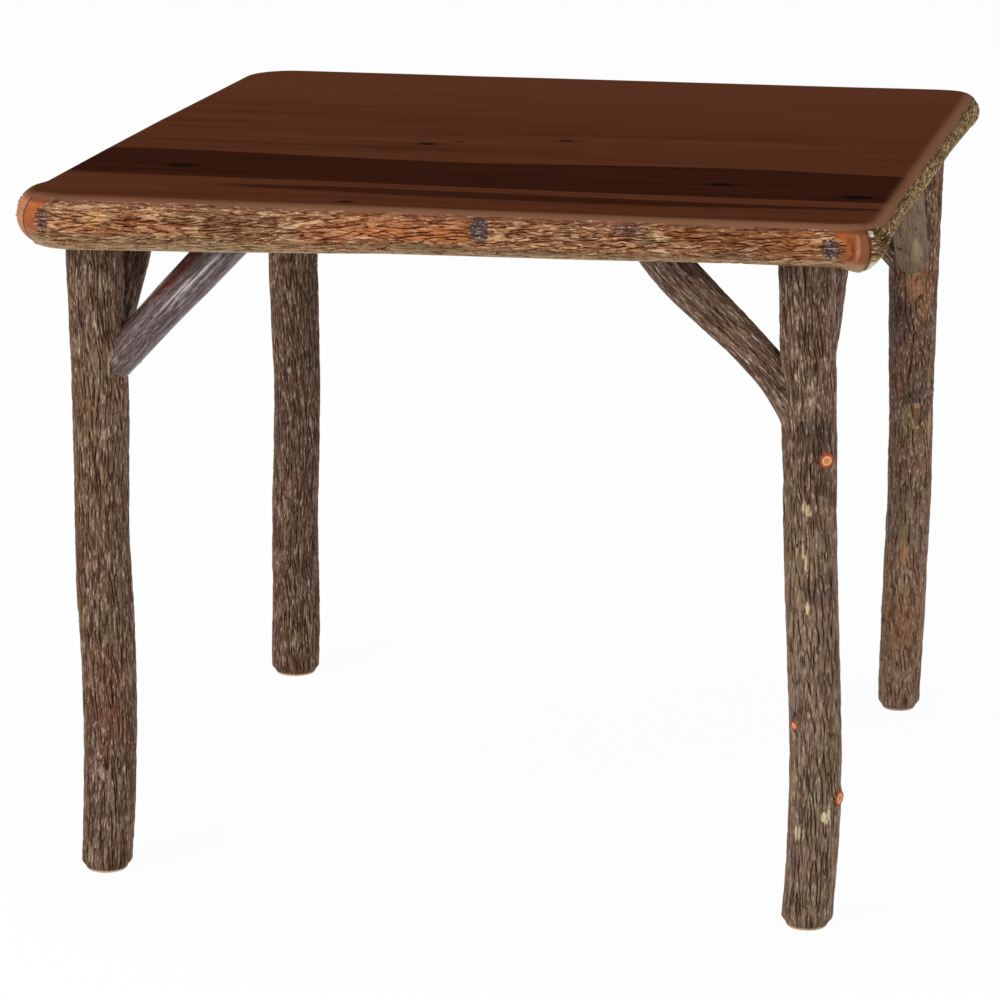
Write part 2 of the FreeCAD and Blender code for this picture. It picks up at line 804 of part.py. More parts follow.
def head_sunk(place_there):
    """The outer face of a head that is sunk in the underside at that place."""
    x, y, z = place_there
    return x, y, f"{z} + sizes.screw_head_sink"


SHANK_IN_BOARD = "(sizes.board_screw_length + sizes.screw_head_sink - {0})"
BATTEN_STARTS = [start for side in (-1, 1) for start in batten_screw_places(side)]
BLOCK_STARTS = [start for corner in CORNERS for start in block_screw_places(corner)]


# Boards: flat planks from side to side, grooved at their ends and along the outer edges


def pilot_holes():
    """Place of each screw in the boards, and how far its hole runs in."""
    holes = []
    for starts, thickness in (
        (BATTEN_STARTS, "sizes.batten_thickness"),
        (BLOCK_STARTS, "sizes.block_thickness"),
    ):
        holes += [(x, y, SHANK_IN_BOARD.format(thickness)) for x, y, z in starts]
    for name in BRACES:
        x, y, z = top_screw_start(name)
        holes.append((x, y, f"({z} + sizes.brace_top_screw_length - {UNDERSIDE})"))
    return holes


def make_board(number):
    name = f"top_board_{number + 1}"
    body = new_body(name)
    front, back = front_edge(number), front_edge(number + 1)
    width = f"({back} - {front})"
    place(body, "0", front, UNDERSIDE)
    sketch = new_sketch(body, "XY_Plane", f"{name}_outline", ("0", "0", "0"))
    rectangle(sketch, f"-{FIELD_HALF_WIDTH}", "0", FIELD_HALF_WIDTH, width)
    pad(body, sketch, "sizes.board_thickness", f"{name}_plank")
    level = "(sizes.board_thickness - sizes.spline_thickness) / 2"
    first = number == 0
    last = number == BOARD_COUNT - 1
    start = "sizes.spline_end_gap" if first else "-sizes.overrun"
    stop = f"{width} - sizes.spline_end_gap" if last else f"{width} + sizes.overrun"
    for low_x in (
        f"-{FIELD_HALF_WIDTH} - sizes.overrun",
        f"{FIELD_HALF_WIDTH} - sizes.spline_bite",
    ):
        run = ("sizes.spline_bite + sizes.overrun", f"{stop} - ({start})", "sizes.spline_thickness")
        box_cut(body, f"{name}_end_groove", (low_x, start, level), run)
    if first or last:
        half = f"({FIELD_HALF_WIDTH} - sizes.spline_end_gap)"
        low_y = "-sizes.overrun" if first else f"{width} - sizes.spline_bite"
        run = (f"2 * {half}", "sizes.spline_bite + sizes.overrun", "sizes.spline_thickness")
        box_cut(body, f"{name}_edge_groove", (f"-{half}", low_y, level), run)
    for x, y, depth in pilot_holes():
        if value_of(front) < value_of(y) <= value_of(back):
            foot = (x, f"{y} - {front}", "-sizes.overrun")
            drill(body, f"{name}_pilot", foot, PILOT_RADIUS, f"sizes.overrun + {depth} + sizes.clearance")
    return keep(body, name)


for number in range(BOARD_COUNT):
    make_board(number)


# Corner blocks: each is bored for its leg's bolt, sunk for the bolt's head, and drilled for
# four screws that come up from below


def chamfer_underside(body, size):
    """Ease the lower edges of a flat piece whose own floor is its underside."""
    doc.recompute()
    base = body.Tip
    edges = [
        f"Edge{index}"
        for index, edge in enumerate(base.Shape.Edges, start=1)
        if edge.BoundBox.ZMax < value_of("sizes.clearance")
    ]
    chamfer = body.newObject("PartDesign::Chamfer", f"{body.Name}_chamfer")
    chamfer.Base = (base, edges)
    chamfer.setExpression("Size", size)


def through_hole(body, place_there, origin, thickness):
    """A screw's hole right through a flat piece, and the sink for its head in the underside."""
    x, y = (f"{value} - {zero}" for value, zero in zip(place_there, origin))
    depth = f"{thickness} + 2 * sizes.overrun"
    drill(body, f"{body.Name}_screw_hole", (x, y, "-sizes.overrun"), PILOT_RADIUS, depth)
    sink = "sizes.overrun + sizes.screw_head_sink + sizes.screw_head_height + sizes.clearance"
    drill(body, f"{body.Name}_screw_sink", (x, y, "-sizes.overrun"), HEAD_RADIUS, sink)


def make_block(corner):
    side, end = CORNERS[corner]
    name = f"{corner}_block"
    body = new_body(name)
    x, y = block_place(corner)
    place(body, x, y, BLOCK_BOTTOM)
    sketch = new_sketch(body, "XY_Plane", f"{name}_outline", ("0", "0", "0"))
    rectangle(sketch, "0", "0", f"{-side} * sizes.block_length", f"{-end} * sizes.block_length")
    pad(body, sketch, "sizes.block_thickness", f"{name}_plate")
    chamfer_underside(body, "sizes.block_chamfer")
    leg_x, leg_y, leg_radius = leg_at(corner, 1.0)
    bolt_x, bolt_y = f"{leg_x} - {x}", f"{leg_y} - {y}"
    drill(
        body,
        f"{name}_bolt_hole",
        (bolt_x, bolt_y, "-sizes.overrun"),
        "(sizes.bolt_diameter / 2 + sizes.clearance)",
        "sizes.block_thickness + 2 * sizes.overrun",
    )
    drill(
        body,
        f"{name}_bolt_sink",
        (bolt_x, bolt_y, f"{BOLT_HEAD_SEAT} - {BLOCK_BOTTOM}"),
        "(sizes.bolt_head_width / sqrt(3) + sizes.clearance)",
        "sizes.bolt_head_height + sizes.overrun",
    )
    for screw_x, screw_y, seat in block_screw_places(corner):
        through_hole(body, (screw_x, screw_y), (x, y), "sizes.block_thickness")
    return keep(body, name)


for corner in CORNERS:
    make_block(corner)


# Battens: strips that run from front to back under the boards


def make_batten(name, side):
    body = new_body(name)
    half = f"({FIELD_HALF_DEPTH} - sizes.batten_end_gap)"
    x = f"({side} * {BATTEN_LINE})"
    place(body, x, "0", f"{UNDERSIDE} - sizes.batten_thickness")
    sketch = new_sketch(body, "XY_Plane", f"{name}_outline", ("0", "0", "0"))
    rectangle(sketch, "-sizes.batten_width / 2", f"-{half}", "sizes.batten_width / 2", half)
    pad(body, sketch, "sizes.batten_thickness", f"{name}_strip")
    chamfer_underside(body, "sizes.batten_chamfer")
    for screw_x, screw_y, seat in batten_screw_places(side):
        through_hole(body, (screw_x, screw_y), (x, "0"), "sizes.batten_thickness")
    return keep(body, name)


make_batten("left_batten", -1)
make_batten("right_batten", 1)


# Screws and bolts, each kind one group of separate solids


def make_screws(name, screws):
    """A group of screws, each with its start, way and length."""
    pieces = [screw(f"{name}_piece", *each) for each in screws]
    return keep(compound(name, pieces), name)


def make_leg_bolts():
    """Hex-head bolts, sunk in the tops of the blocks and driven down into the legs' end grain."""
    pieces = []
    for corner in CORNERS:
        x, y, radius = leg_at(corner, 1.0)
        head = prism(
            "leg_bolt_head",
            HEX_SIDES,
            "(sizes.bolt_head_width / 2)",
            "sizes.bolt_head_height",
            (x, y, BOLT_HEAD_SEAT),
        )
        shank = prism(
            "leg_bolt_shank",
            FASTENER_SIDES,
            "(sizes.bolt_diameter / 2)",
            "sizes.bolt_length",
            (x, y, f"{BOLT_HEAD_SEAT} - sizes.bolt_length"),
        )
        pieces.append(fuse("leg_bolt", head, shank))
    return keep(compound("leg_bolts", pieces), "leg_bolts")


make_leg_bolts()
make_screws("brace_leg_screws", [leg_screw(name) for name in BRACES])
make_screws("brace_top_screws", [top_screw(name) for name in BRACES])
for name, starts in (("batten_screws", BATTEN_STARTS), ("block_screws", BLOCK_STARTS)):
    lengths = "sizes.board_screw_length"
    make_screws(name, [(head_sunk(start), (0, 0, 1), lengths) for start in starts])


# Check every object, then write the sub-parts

doc.recompute()
for thing in doc.Objects:
    if "Invalid" in thing.State or "Error" in thing.State:
        raise RuntimeError(f"{thing.Name} failed: {thing.State}")
for node in nodes:
    shape = node.Shape
    if shape.isNull() or not shape.isValid() or not shape.Solids:
        raise RuntimeError(f"{node.Label} has no valid solid")
for node in nodes:
    node.Shape.exportStep(f"parts/{node.Label}.step")
    print(f"{node.Label}: {len(node.Shape.Solids)} solid, {node.Shape.Volume:.0f} mm3")
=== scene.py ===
import json
import math

import bpy
import numpy as np
from mathutils import Matrix, Vector
from mathutils.bvhtree import BVHTree


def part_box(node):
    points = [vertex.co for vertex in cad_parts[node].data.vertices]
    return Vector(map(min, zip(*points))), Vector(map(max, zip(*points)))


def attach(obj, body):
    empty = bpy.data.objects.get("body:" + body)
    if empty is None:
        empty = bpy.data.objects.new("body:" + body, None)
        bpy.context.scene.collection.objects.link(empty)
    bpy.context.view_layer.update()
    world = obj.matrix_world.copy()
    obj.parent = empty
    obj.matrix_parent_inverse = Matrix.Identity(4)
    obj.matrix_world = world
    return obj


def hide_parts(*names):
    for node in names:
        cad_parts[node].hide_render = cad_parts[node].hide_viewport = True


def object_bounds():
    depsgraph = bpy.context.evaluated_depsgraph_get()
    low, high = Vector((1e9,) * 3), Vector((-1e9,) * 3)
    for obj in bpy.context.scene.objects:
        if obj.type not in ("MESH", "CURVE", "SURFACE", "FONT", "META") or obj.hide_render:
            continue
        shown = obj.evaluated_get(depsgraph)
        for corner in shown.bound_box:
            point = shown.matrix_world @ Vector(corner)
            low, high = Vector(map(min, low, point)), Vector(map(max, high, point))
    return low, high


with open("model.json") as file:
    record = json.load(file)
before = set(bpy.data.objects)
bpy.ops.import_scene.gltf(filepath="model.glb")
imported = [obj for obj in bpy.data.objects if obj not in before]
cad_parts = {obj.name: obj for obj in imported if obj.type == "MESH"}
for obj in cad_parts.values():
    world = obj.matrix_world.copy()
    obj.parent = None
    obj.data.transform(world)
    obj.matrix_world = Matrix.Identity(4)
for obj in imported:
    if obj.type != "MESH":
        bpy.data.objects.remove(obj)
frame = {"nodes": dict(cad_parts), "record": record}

# A rustic hickory table: a stained plank top edged with half-log rails, on log legs and braces.
# Metres. +Z is up, +X is the table's right and -Y its front.

NODES = frame["nodes"]
CAD_BOX = [list(corner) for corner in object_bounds()]
MM = 0.001

# Sizes that the frame doesn't say by itself

TOP = CAD_BOX[1][2]
HALF_WIDTH = 0.4635
HALF_DEPTH = 0.466
RAIL_DEPTH = 0.034
CORNER_RADII = {"front_left": 0.074, "front_right": 0.048, "back_right": 0.042, "back_left": 0.070}
BOARD_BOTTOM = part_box("top_board_1")[0].z
BRACE_REACH = 0.176
BRACE_DROP = 0.182
UP = Vector((0, 0, 1))


# Camera, light, floor

YAW = 0.2282
PITCH = 0.2600
ROLL = -0.0044
CAMERA_PLACE = (0.916, -4.09174, 1.45554)
FOCAL_PIXELS = 3755.54
IMAGE_PIXELS = 1000
SENSOR_WIDTH = 36


def show(thing):
    bpy.context.scene.collection.objects.link(thing)


def make_camera():
    ahead = Vector((-math.sin(YAW) * math.cos(PITCH), math.cos(YAW) * math.cos(PITCH), -math.sin(PITCH)))
    level = Vector((math.cos(YAW), math.sin(YAW), 0))
    above = level.cross(ahead)
    right = level * math.cos(ROLL) + above * math.sin(ROLL)
    up = above * math.cos(ROLL) - level * math.sin(ROLL)
    data = bpy.data.cameras.new("camera")
    data.sensor_width = SENSOR_WIDTH
    data.lens = FOCAL_PIXELS / IMAGE_PIXELS * SENSOR_WIDTH
    camera = bpy.data.objects.new("camera", data)
    columns = Matrix((right, up, -ahead)).transposed()
    camera.matrix_world = Matrix.Translation(CAMERA_PLACE) @ columns.to_4x4()
    show(camera)
    bpy.context.scene.camera = camera


LAMP_AIM = Vector((0, 0, 0.45))


def make_lamp(name, place, size, power):
    data = bpy.data.lights.new(name, "AREA")
    data.size = size
    data.energy = power
    lamp = bpy.data.objects.new(name, data)
    lamp.location = place
    lamp.rotation_euler = (LAMP_AIM - Vector(place)).to_track_quat("-Z", "Y").to_euler()
    show(lamp)


AMBIENT = 0.62
WHITE = (1, 1, 1, 1)


def background_ray(tree):
    """1 for rays that should see the white background: camera, glossy and transmission rays."""
    rays = add(tree, "LightPath", {}).outputs
    seen = calc(tree, "MAXIMUM", rays["Is Camera Ray"], rays["Is Glossy Ray"])
    return calc(tree, "MAXIMUM", seen, rays["Is Transmission Ray"])


def make_world():
    world = bpy.data.worlds.new("studio")
    world.use_nodes = True
    tree = world.node_tree
    strength = background_ray(tree) * (1 - AMBIENT) + AMBIENT
    feed(tree, tree.nodes["Background"], {"Color": WHITE, "Strength": strength})
    bpy.context.scene.world = world


FLOOR_REACH = 30
FLOOR_COLOUR = (0.93, 0.93, 0.93, 1)
FLOOR_WHITE_SHARE = 0.95


def make_floor():
    """A white floor that still takes the table's soft shadow."""
    mesh = bpy.data.meshes.new("floor")
    corners = [(x * FLOOR_REACH, y * FLOOR_REACH, 0) for x, y in ((-1, -1), (1, -1), (1, 1), (-1, 1))]
    mesh.from_pydata(corners, [], [(0, 1, 2, 3)])
    floor = bpy.data.objects.new("floor", mesh)
    show(floor)
    material = bpy.data.materials.new("floor")
    material.use_nodes = True
    tree = material.node_tree
    tree.nodes.clear()
    paint = add(tree, "BsdfDiffuse", {"Color": FLOOR_COLOUR})
    white = add(tree, "Emission", {"Color": WHITE, "Strength": 1.0})
    share = background_ray(tree) * FLOOR_WHITE_SHARE
    mixed = add(tree, "MixShader", {"Fac": share, 1: paint.outputs[0], 2: white.outputs[0]})
    add(tree, "OutputMaterial", {"Surface": mixed.outputs[0]})
    mesh.materials.append(material)


# Short ways to add shader nodes. Colours are three numbers, 0 to 255, as the screen shows them.


class Value:
    """A number that the shader works out. It adds, subtracts and multiplies as numbers do."""

    def __init__(self, tree, socket):
        self.tree = tree
        self.socket = socket

    def __add__(self, other):
        return calc(self.tree, "ADD", self, other)

    def __sub__(self, other):
        return calc(self.tree, "SUBTRACT", self, other)

    def __mul__(self, other):
        return calc(self.tree, "MULTIPLY", self, other)

    def fade(self, low, high):
        """0 at low, 1 at high, smooth between."""
        inputs = {"Value": self, "From Min": low, "From Max": high}
        node = add(self.tree, "MapRange", inputs, interpolation_type="SMOOTHSTEP")
        return Value(self.tree, node.outputs[0])


def feed(tree, node, inputs):
    """Set a node's inputs, or link them to what comes from another node."""
    for key, value in inputs.items():
        value = getattr(value, "socket", value)
        if isinstance(value, bpy.types.NodeSocket):
            tree.links.new(value, node.inputs[key])
        else:
            node.inputs[key].default_value = value


def add(tree, kind, inputs, **settings):
    node = tree.nodes.new("ShaderNode" + kind)
    for key, value in settings.items():
        setattr(node, key, value)
    feed(tree, node, inputs)
    return node


def calc(tree, operation, first, second=0.0):
    return Value(tree, add(tree, "Math", {0: first, 1: second}, operation=operation).outputs[0])


def shade(red, green, blue):
    """A colour in the linear light that shaders count in."""
    parts = [level / 255 for level in (red, green, blue)]
    linear = [((part + 0.055) / 1.055) ** 2.4 if part > 0.04045 else part / 12.92 for part in parts]
    return (*linear, 1)


def mix(tree, share, first, second, mode="MIX"):
    """The first colour or number, with a share of the second."""
    if isinstance(second, tuple):
        second = shade(*second)
    inputs = {0: share, 6: first, 7: second}
    return add(tree, "Mix", inputs, data_type="RGBA", blend_type=mode).outputs[2]


def ramp(tree, value, *stops):
    """Colours along a value. Each stop is a place and a colour."""
    node = add(tree, "ValToRGB", {"Fac": value})
    points = node.color_ramp.elements
    while len(points) < len(stops):
        points.new(0.5)
    for point, (place, *colour) in zip(points, stops):
        point.position = place
        point.color = shade(*colour)
    return node.outputs["Color"]


def cloud(tree, place, scales, detail=3.0, roughness=0.55, warp=0.0, shift=(0, 0, 0)):
    """Noise with a scale for each axis."""
    moved = add(tree, "Mapping", {"Vector": place, "Scale": scales, "Location": shift}).outputs[0]
    inputs = {"Vector": moved, "Scale": 1.0, "Detail": detail, "Roughness": roughness, "Distortion": warp}
    return Value(tree, add(tree, "TexNoise", inputs).outputs["Fac"])


def mark(tree, name):
    """A number that the mesh carries."""
    return Value(tree, add(tree, "Attribute", {}, attribute_name=name).outputs["Fac"])


def mark_vector(tree, name):
    return add(tree, "Attribute", {}, attribute_name=name).outputs["Vector"]


def table_place(tree):
    return add(tree, "TexCoord", {}).outputs["Object"]


def new_material(name):
    material = bpy.data.materials.new(name)
    material.use_nodes = True
    return material, material.node_tree, material.node_tree.nodes["Principled BSDF"]


BUMP_DISTANCE = 0.5 * MM


def finish_material(tree, surface, colour, roughness, height, bump, specular):
    inputs = {"Height": height, "Strength": bump, "Distance": BUMP_DISTANCE}
    normal = add(tree, "Bump", inputs).outputs[0]
    feed(tree, surface, {"Base Color": colour, "Roughness": roughness, "Normal": normal})
    surface.inputs["Specular IOR Level"].default_value = specular


# Materials

STAIN_SPECULAR = 0.0001
BARK_SPECULAR = 0.06
SIDE_RAIL_SPECULAR = 0.001
GLOSSY_SPECULAR = 0.4


def edge_wave(along, middle, swing, length, start):
    """A boundary across the top that sways a little from side to side."""
    turn = along * (2 * math.pi / length) + start
    return calc(along.tree, "COSINE", turn) * swing + middle


def band(value, low, high, soft):
    """1 between two boundaries, with soft edges."""
    tree = value.tree
    below_high = calc(tree, "SUBTRACT", high, value)
    return calc(tree, "MINIMUM", value - low, below_high).fade(-soft, soft)


# The boundaries: their middle, their swing to each side, the wave's length, and where it starts
DARK_BACK = (-0.161, 0.011, 0.62, 3.75)
DARK_FRONT = (-0.316, 0.008, 1.5, 1.8)
STREAK_MIDDLE = (-0.358, 0.012, 1.3, 2.3)
STREAK_HALF_WIDTH = (0.011, 0.007, 0.9, -0.35)

# Knots of the boards: x, y and radius
TOP_KNOTS = (
    (-0.102, -0.062, 0.010), (0.048, -0.012, 0.009), (0.263, -0.250, 0.012), (0.413, -0.296, 0.015),
    (-0.329, -0.250, 0.014), (-0.097, -0.427, 0.008), (-0.070, -0.041, 0.006),
)


def stained_wood(tree):
    """Colour, roughness and height of the dark stained planks, from the place on the table."""
    place = table_place(tree)
    split = add(tree, "SeparateXYZ", {0: place}).outputs
    x, y = Value(tree, split["X"]), Value(tree, split["Y"])
    y_drift = cloud(tree, place, (2.2, 9, 9), 2) * 0.024 - 0.012 + y
    grain = cloud(tree, place, (3.0, 60, 60), 5, 0.6, 0.6)
    fine = cloud(tree, place, (14, 420, 420), 4, 0.6)
    broad = cloud(tree, place, (1.2, 9, 9), 2, shift=(3, 1, 0))
    plain = ramp(tree, grain, (0.25, 62, 31, 16), (0.5, 77, 40, 22), (0.75, 88, 48, 29))
    lighter = mix(tree, broad.fade(0.35, 0.7), plain, (90, 50, 32))
    plain = mix(tree, 0.5, plain, lighter)
    plain = mix(tree, y.fade(0.0, 0.4) * 0.5, plain, (94, 52, 33))
    dark = ramp(tree, grain, (0.2, 36, 13, 4), (0.5, 46, 18, 7), (0.8, 58, 27, 14))
    upper, lower = edge_wave(x, *DARK_BACK), edge_wave(x, *DARK_FRONT)
    colour = mix(tree, band(y_drift, lower, upper, 0.003), plain, dark)
    line, width = edge_wave(x, *STREAK_MIDDLE), edge_wave(x, *STREAK_HALF_WIDTH)
    streak = band(y_drift, line - width, line + width, 0.004) * x.fade(-0.30, -0.20)
    colour = mix(tree, streak * 0.9, colour, dark)
    seam = band(y_drift, 0.120, 0.122, 0.0025) * x.fade(0.12, -0.30)
    colour = mix(tree, seam * 0.7, colour, (44, 20, 11))
    colour = mix(tree, fine * 0.22, colour, (48, 22, 11))
    for knot_x, knot_y, size in TOP_KNOTS:
        from_knot = {0: place, 1: (-knot_x, -knot_y, -TOP)}
        offset = add(tree, "VectorMath", from_knot, operation="ADD").outputs[0]
        flat = add(tree, "Mapping", {"Vector": offset, "Scale": (0.75, 1.5, 0)}).outputs[0]
        reach = add(tree, "VectorMath", {0: flat}, operation="LENGTH").outputs["Value"]
        rough = cloud(tree, place, (160, 160, 160), 2) * 0.006 + reach
        colour = mix(tree, rough.fade(2.1 * size, size) * 0.45, colour, (34, 12, 4))
        colour = mix(tree, rough.fade(size + 0.002, size - 0.001), colour, (12, 5, 2))
    return colour, fine * 0.16 + 0.34, fine * 0.4 + grain * 0.5


def make_stained():
    material, tree, surface = new_material("stained_plank")
    finish_material(tree, surface, *stained_wood(tree), bump=0.12, specular=STAIN_SPECULAR)
    return material


def painted(tree, colour):
    """A colour with the spots that the mesh carries laid over it."""
    under = mix(tree, mark(tree, "painted"), colour, (0, 0, 0))
    return mix(tree, 1.0, under, mark_vector(tree, "paint"), "ADD")


FLECK_SCALE = (600, 600, 105)


def bark_colours(tree, look):
    """Colour, roughness and height of bark, from the marks that its mesh carries."""
    place = mark_vector(tree, "log_place")
    furrow = mark(tree, "furrow")
    streaks = cloud(tree, place, (300, 300, 34), 3, 0.6)
    threads = cloud(tree, place, (620, 620, 60), 2, 0.5, shift=(4, 1, 2))
    flecks = cloud(tree, place, look.get("fleck_scale", FLECK_SCALE), 2, 0.5)
    broad = cloud(tree, place, (30, 30, 12), 4)
    other = cloud(tree, place, (44, 44, 20), 4, shift=(5, 2, 7))
    specks = cloud(tree, place, (900, 900, 620), 2, 0.6, shift=(2, 3, 1))
    mixed = threads * 0.20 + streaks * 0.14 + flecks * 0.16 + specks * 0.26 + mark(tree, "tone") * 0.24
    low, middle, high = look["plates"]
    colour = ramp(tree, mixed, (0.40, *low), (0.5, *middle), (0.60, *high))
    colour = mix(tree, broad.fade(0.48, 0.68) * look["patch_share"], colour, look["patch"])
    colour = mix(tree, other.fade(0.48, 0.66) * look["tint_share"], colour, look["tint"])
    colour = painted(tree, colour)
    # Pale flecks on the ridges: partly the bark's pale ridge tops, partly painted highlights for glints of
    # varnish
    pale_fleck_glint = flecks.fade(0.54, 0.66) * furrow.fade(0.5, 0.9) * (mark(tree, "painted") * -0.35 + 1.0)
    colour = mix(tree, pale_fleck_glint * look["fleck_glint_share"], colour, look["fleck_glint"])
    thin = streaks.fade(0.5, 0.36) * furrow.fade(1.01, 0.97)
    colour = mix(tree, thin * look["wall_share"], colour, look["furrow"])
    colour = mix(tree, furrow.fade(0.85, 0.35) * look["wall_share"], colour, look["wall"])
    colour = mix(tree, furrow.fade(0.6, 0.12) * 0.95, colour, look["furrow"])
    return colour, streaks * 0.3 + look["roughness"], flecks * 0.5 + streaks


# Bark's colours: its plates from low to high, two kinds of patches, pale flecks that are partly pale ridge
# tops and partly painted glints of varnish, furrow walls and furrows

LEG_LOOK = dict(
    plates=((70, 49, 36), (108, 84, 68), (156, 132, 112)), patch=(108, 96, 64), patch_share=0.35,
    tint=(102, 64, 48), tint_share=0.4, fleck_glint=(196, 176, 152), fleck_glint_share=0.55, wall=(70, 41, 27),
    wall_share=0.55, furrow=(42, 22, 11), roughness=0.34,
)
BACK_LEG_LOOK = LEG_LOOK | dict(
    fleck_scale=(480, 480, 170), plates=((64, 46, 36), (104, 80, 66), (164, 136, 110)),
    patch=(96, 84, 78), patch_share=0.6, tint=(132, 84, 54), tint_share=0.6, fleck_glint=(208, 186, 152),
    fleck_glint_share=0.45,
)
RAIL_LOOK = dict(
    plates=((112, 70, 42), (156, 112, 76), (204, 164, 126)), patch=(124, 104, 72), patch_share=0.5,
    tint=(160, 92, 48), tint_share=0.5, fleck_glint=(232, 206, 176), fleck_glint_share=0.45, wall=(112, 50, 24),
    wall_share=0.7, furrow=(50, 18, 5), roughness=0.28,
)
OLIVE_RAIL_LOOK = dict(
    fleck_scale=(560, 560, 200), plates=((86, 64, 36), (130, 104, 68), (194, 168, 124)),
    patch=(108, 94, 52), patch_share=0.5, tint=(112, 74, 46), tint_share=0.5, fleck_glint=(222, 206, 172),
    fleck_glint_share=0.75, wall=(80, 54, 28), wall_share=0.6, furrow=(52, 34, 18), roughness=0.3,
)
BRACE_LOOK = dict(
    plates=((70, 49, 38), (110, 86, 70), (156, 132, 114)), patch=(104, 90, 64), patch_share=0.35,
    tint=(98, 64, 52), tint_share=0.4, fleck_glint=(196, 178, 160), fleck_glint_share=0.6, wall=(70, 44, 32),
    wall_share=0.55, furrow=(38, 20, 12), roughness=0.3,
)
GLOSSY_LOOK = dict(
    plates=((50, 34, 31), (82, 64, 60), (124, 106, 104)), patch=(88, 68, 64), patch_share=0.35,
    tint=(78, 44, 38), tint_share=0.5, fleck_glint=(176, 160, 162), fleck_glint_share=0.35, wall=(64, 42, 38),
    wall_share=0.4, furrow=(34, 18, 16), roughness=0.05,
)
GREY_LOOK = dict(
    plates=((94, 76, 60), (116, 96, 78), (138, 118, 98)), patch=(110, 94, 68), patch_share=0.4,
    tint=(112, 92, 86), tint_share=0.4, fleck_glint=(150, 138, 122), fleck_glint_share=0.3, wall=(88, 72, 60),
    wall_share=0.3, furrow=(62, 46, 38), roughness=0.4,
)

# The two colours of each kind of bare wood

LEG_WOOD = ((196, 160, 130), (226, 196, 168))
BRACE_WOOD = ((190, 150, 112), (214, 178, 140))
ORANGE_WOOD = ((126, 62, 30), (170, 94, 48))
SALMON_WOOD = ((150, 98, 68), (188, 134, 100))


def cut_rings(tree):
    """Colours of a sawn branch stub, from its rim, marked 0, to its middle, marked 1."""
    cut = mark(tree, "cut")
    wobble = cloud(tree, mark_vector(tree, "log_place"), (260, 260, 260), 2) * 0.16 - 0.08
    rings = ramp(
        tree, cut + wobble, (0.0, 132, 54, 28), (0.32, 168, 80, 44), (0.42, 216, 156, 110),
        (0.58, 222, 166, 120), (0.66, 150, 84, 46), (0.76, 214, 152, 104), (0.9, 160, 96, 54),
    )
    return cut.fade(0.01, 0.04), rings


# Painted highlight: a pale mauve band laid over the stain along the rails' rounded top edges, in place of
# the sheen there
EDGE_HIGHLIGHT_COLOUR = (126, 88, 66)
EDGE_HIGHLIGHT_SHARE = 0.85
BARE_ROUGHNESS = 0.3


def make_bark(name, look, wood, with_stain=False, specular=BARK_SPECULAR):
    """Bark, with bare wood, sawn stubs and the top's stain where the mesh is marked for them."""
    material, tree, surface = new_material(name)
    colour, roughness, height = bark_colours(tree, look)
    grain = cloud(tree, mark_vector(tree, "log_place"), (130, 130, 22), 4, 0.6, 0.4)
    low, high = wood
    bare = mark(tree, "bare")
    colour = mix(tree, bare, colour, painted(tree, ramp(tree, grain, (0.3, *low), (0.7, *high))))
    is_cut, rings = cut_rings(tree)
    colour = mix(tree, is_cut, colour, rings)
    roughness = roughness + bare * (roughness * -1 + BARE_ROUGHNESS)
    height = mix(tree, bare, height, grain)
    if with_stain:
        stain_colour, stain_roughness, stain_height = stained_wood(tree)
        stain = mark(tree, "stain")
        # The painted highlight along the rails' rounded top edges
        stain_colour = mix(tree, mark(tree, "edge_highlight") * EDGE_HIGHLIGHT_SHARE, stain_colour, EDGE_HIGHLIGHT_COLOUR)
        colour = mix(tree, stain, colour, stain_colour)
        roughness = mix(tree, stain, roughness, stain_roughness)
        height = mix(tree, stain, height, stain_height * 0.3)
    finish_material(tree, surface, colour, roughness, height, bump=0.35, specular=specular)
    return material


def make_sawn():
    """Plain sawn wood of the pieces under the top."""
    material, tree, surface = new_material("frame_wood")
    place = table_place(tree)
    rings = cloud(tree, place, (160, 14, 160), 4, 0.6, 0.5)
    colour = ramp(tree, rings, (0.3, 112, 80, 52), (0.55, 134, 98, 66), (0.8, 150, 114, 80))
    patches = cloud(tree, place, (30, 30, 30), 2).fade(0.5, 0.7)
    colour = mix(tree, patches * 0.3, colour, (98, 68, 44))
    finish_material(tree, surface, colour, rings * 0.2 + 0.5, rings, bump=0.3, specular=0.3)
    return material


def make_steel():
    material, tree, surface = new_material("steel")
    brushed = cloud(tree, table_place(tree), (900, 900, 120), 3)
    colour = ramp(tree, brushed, (0.3, 150, 150, 152), (0.7, 196, 196, 198))
    surface.inputs["Metallic"].default_value = 1.0
    finish_material(tree, surface, colour, brushed * 0.25 + 0.25, brushed, bump=0.15, specular=0.5)
    return material


# Bark relief, worked out on a grid of places on a log's skin


def smooth_step(low, high, value):
    share = np.clip((value - low) / (high - low), 0, 1)
    return share * share * (3 - 2 * share)


# The least slope, per metre, that a noise needs for a furrow on its line
LEAST_RISE = 45


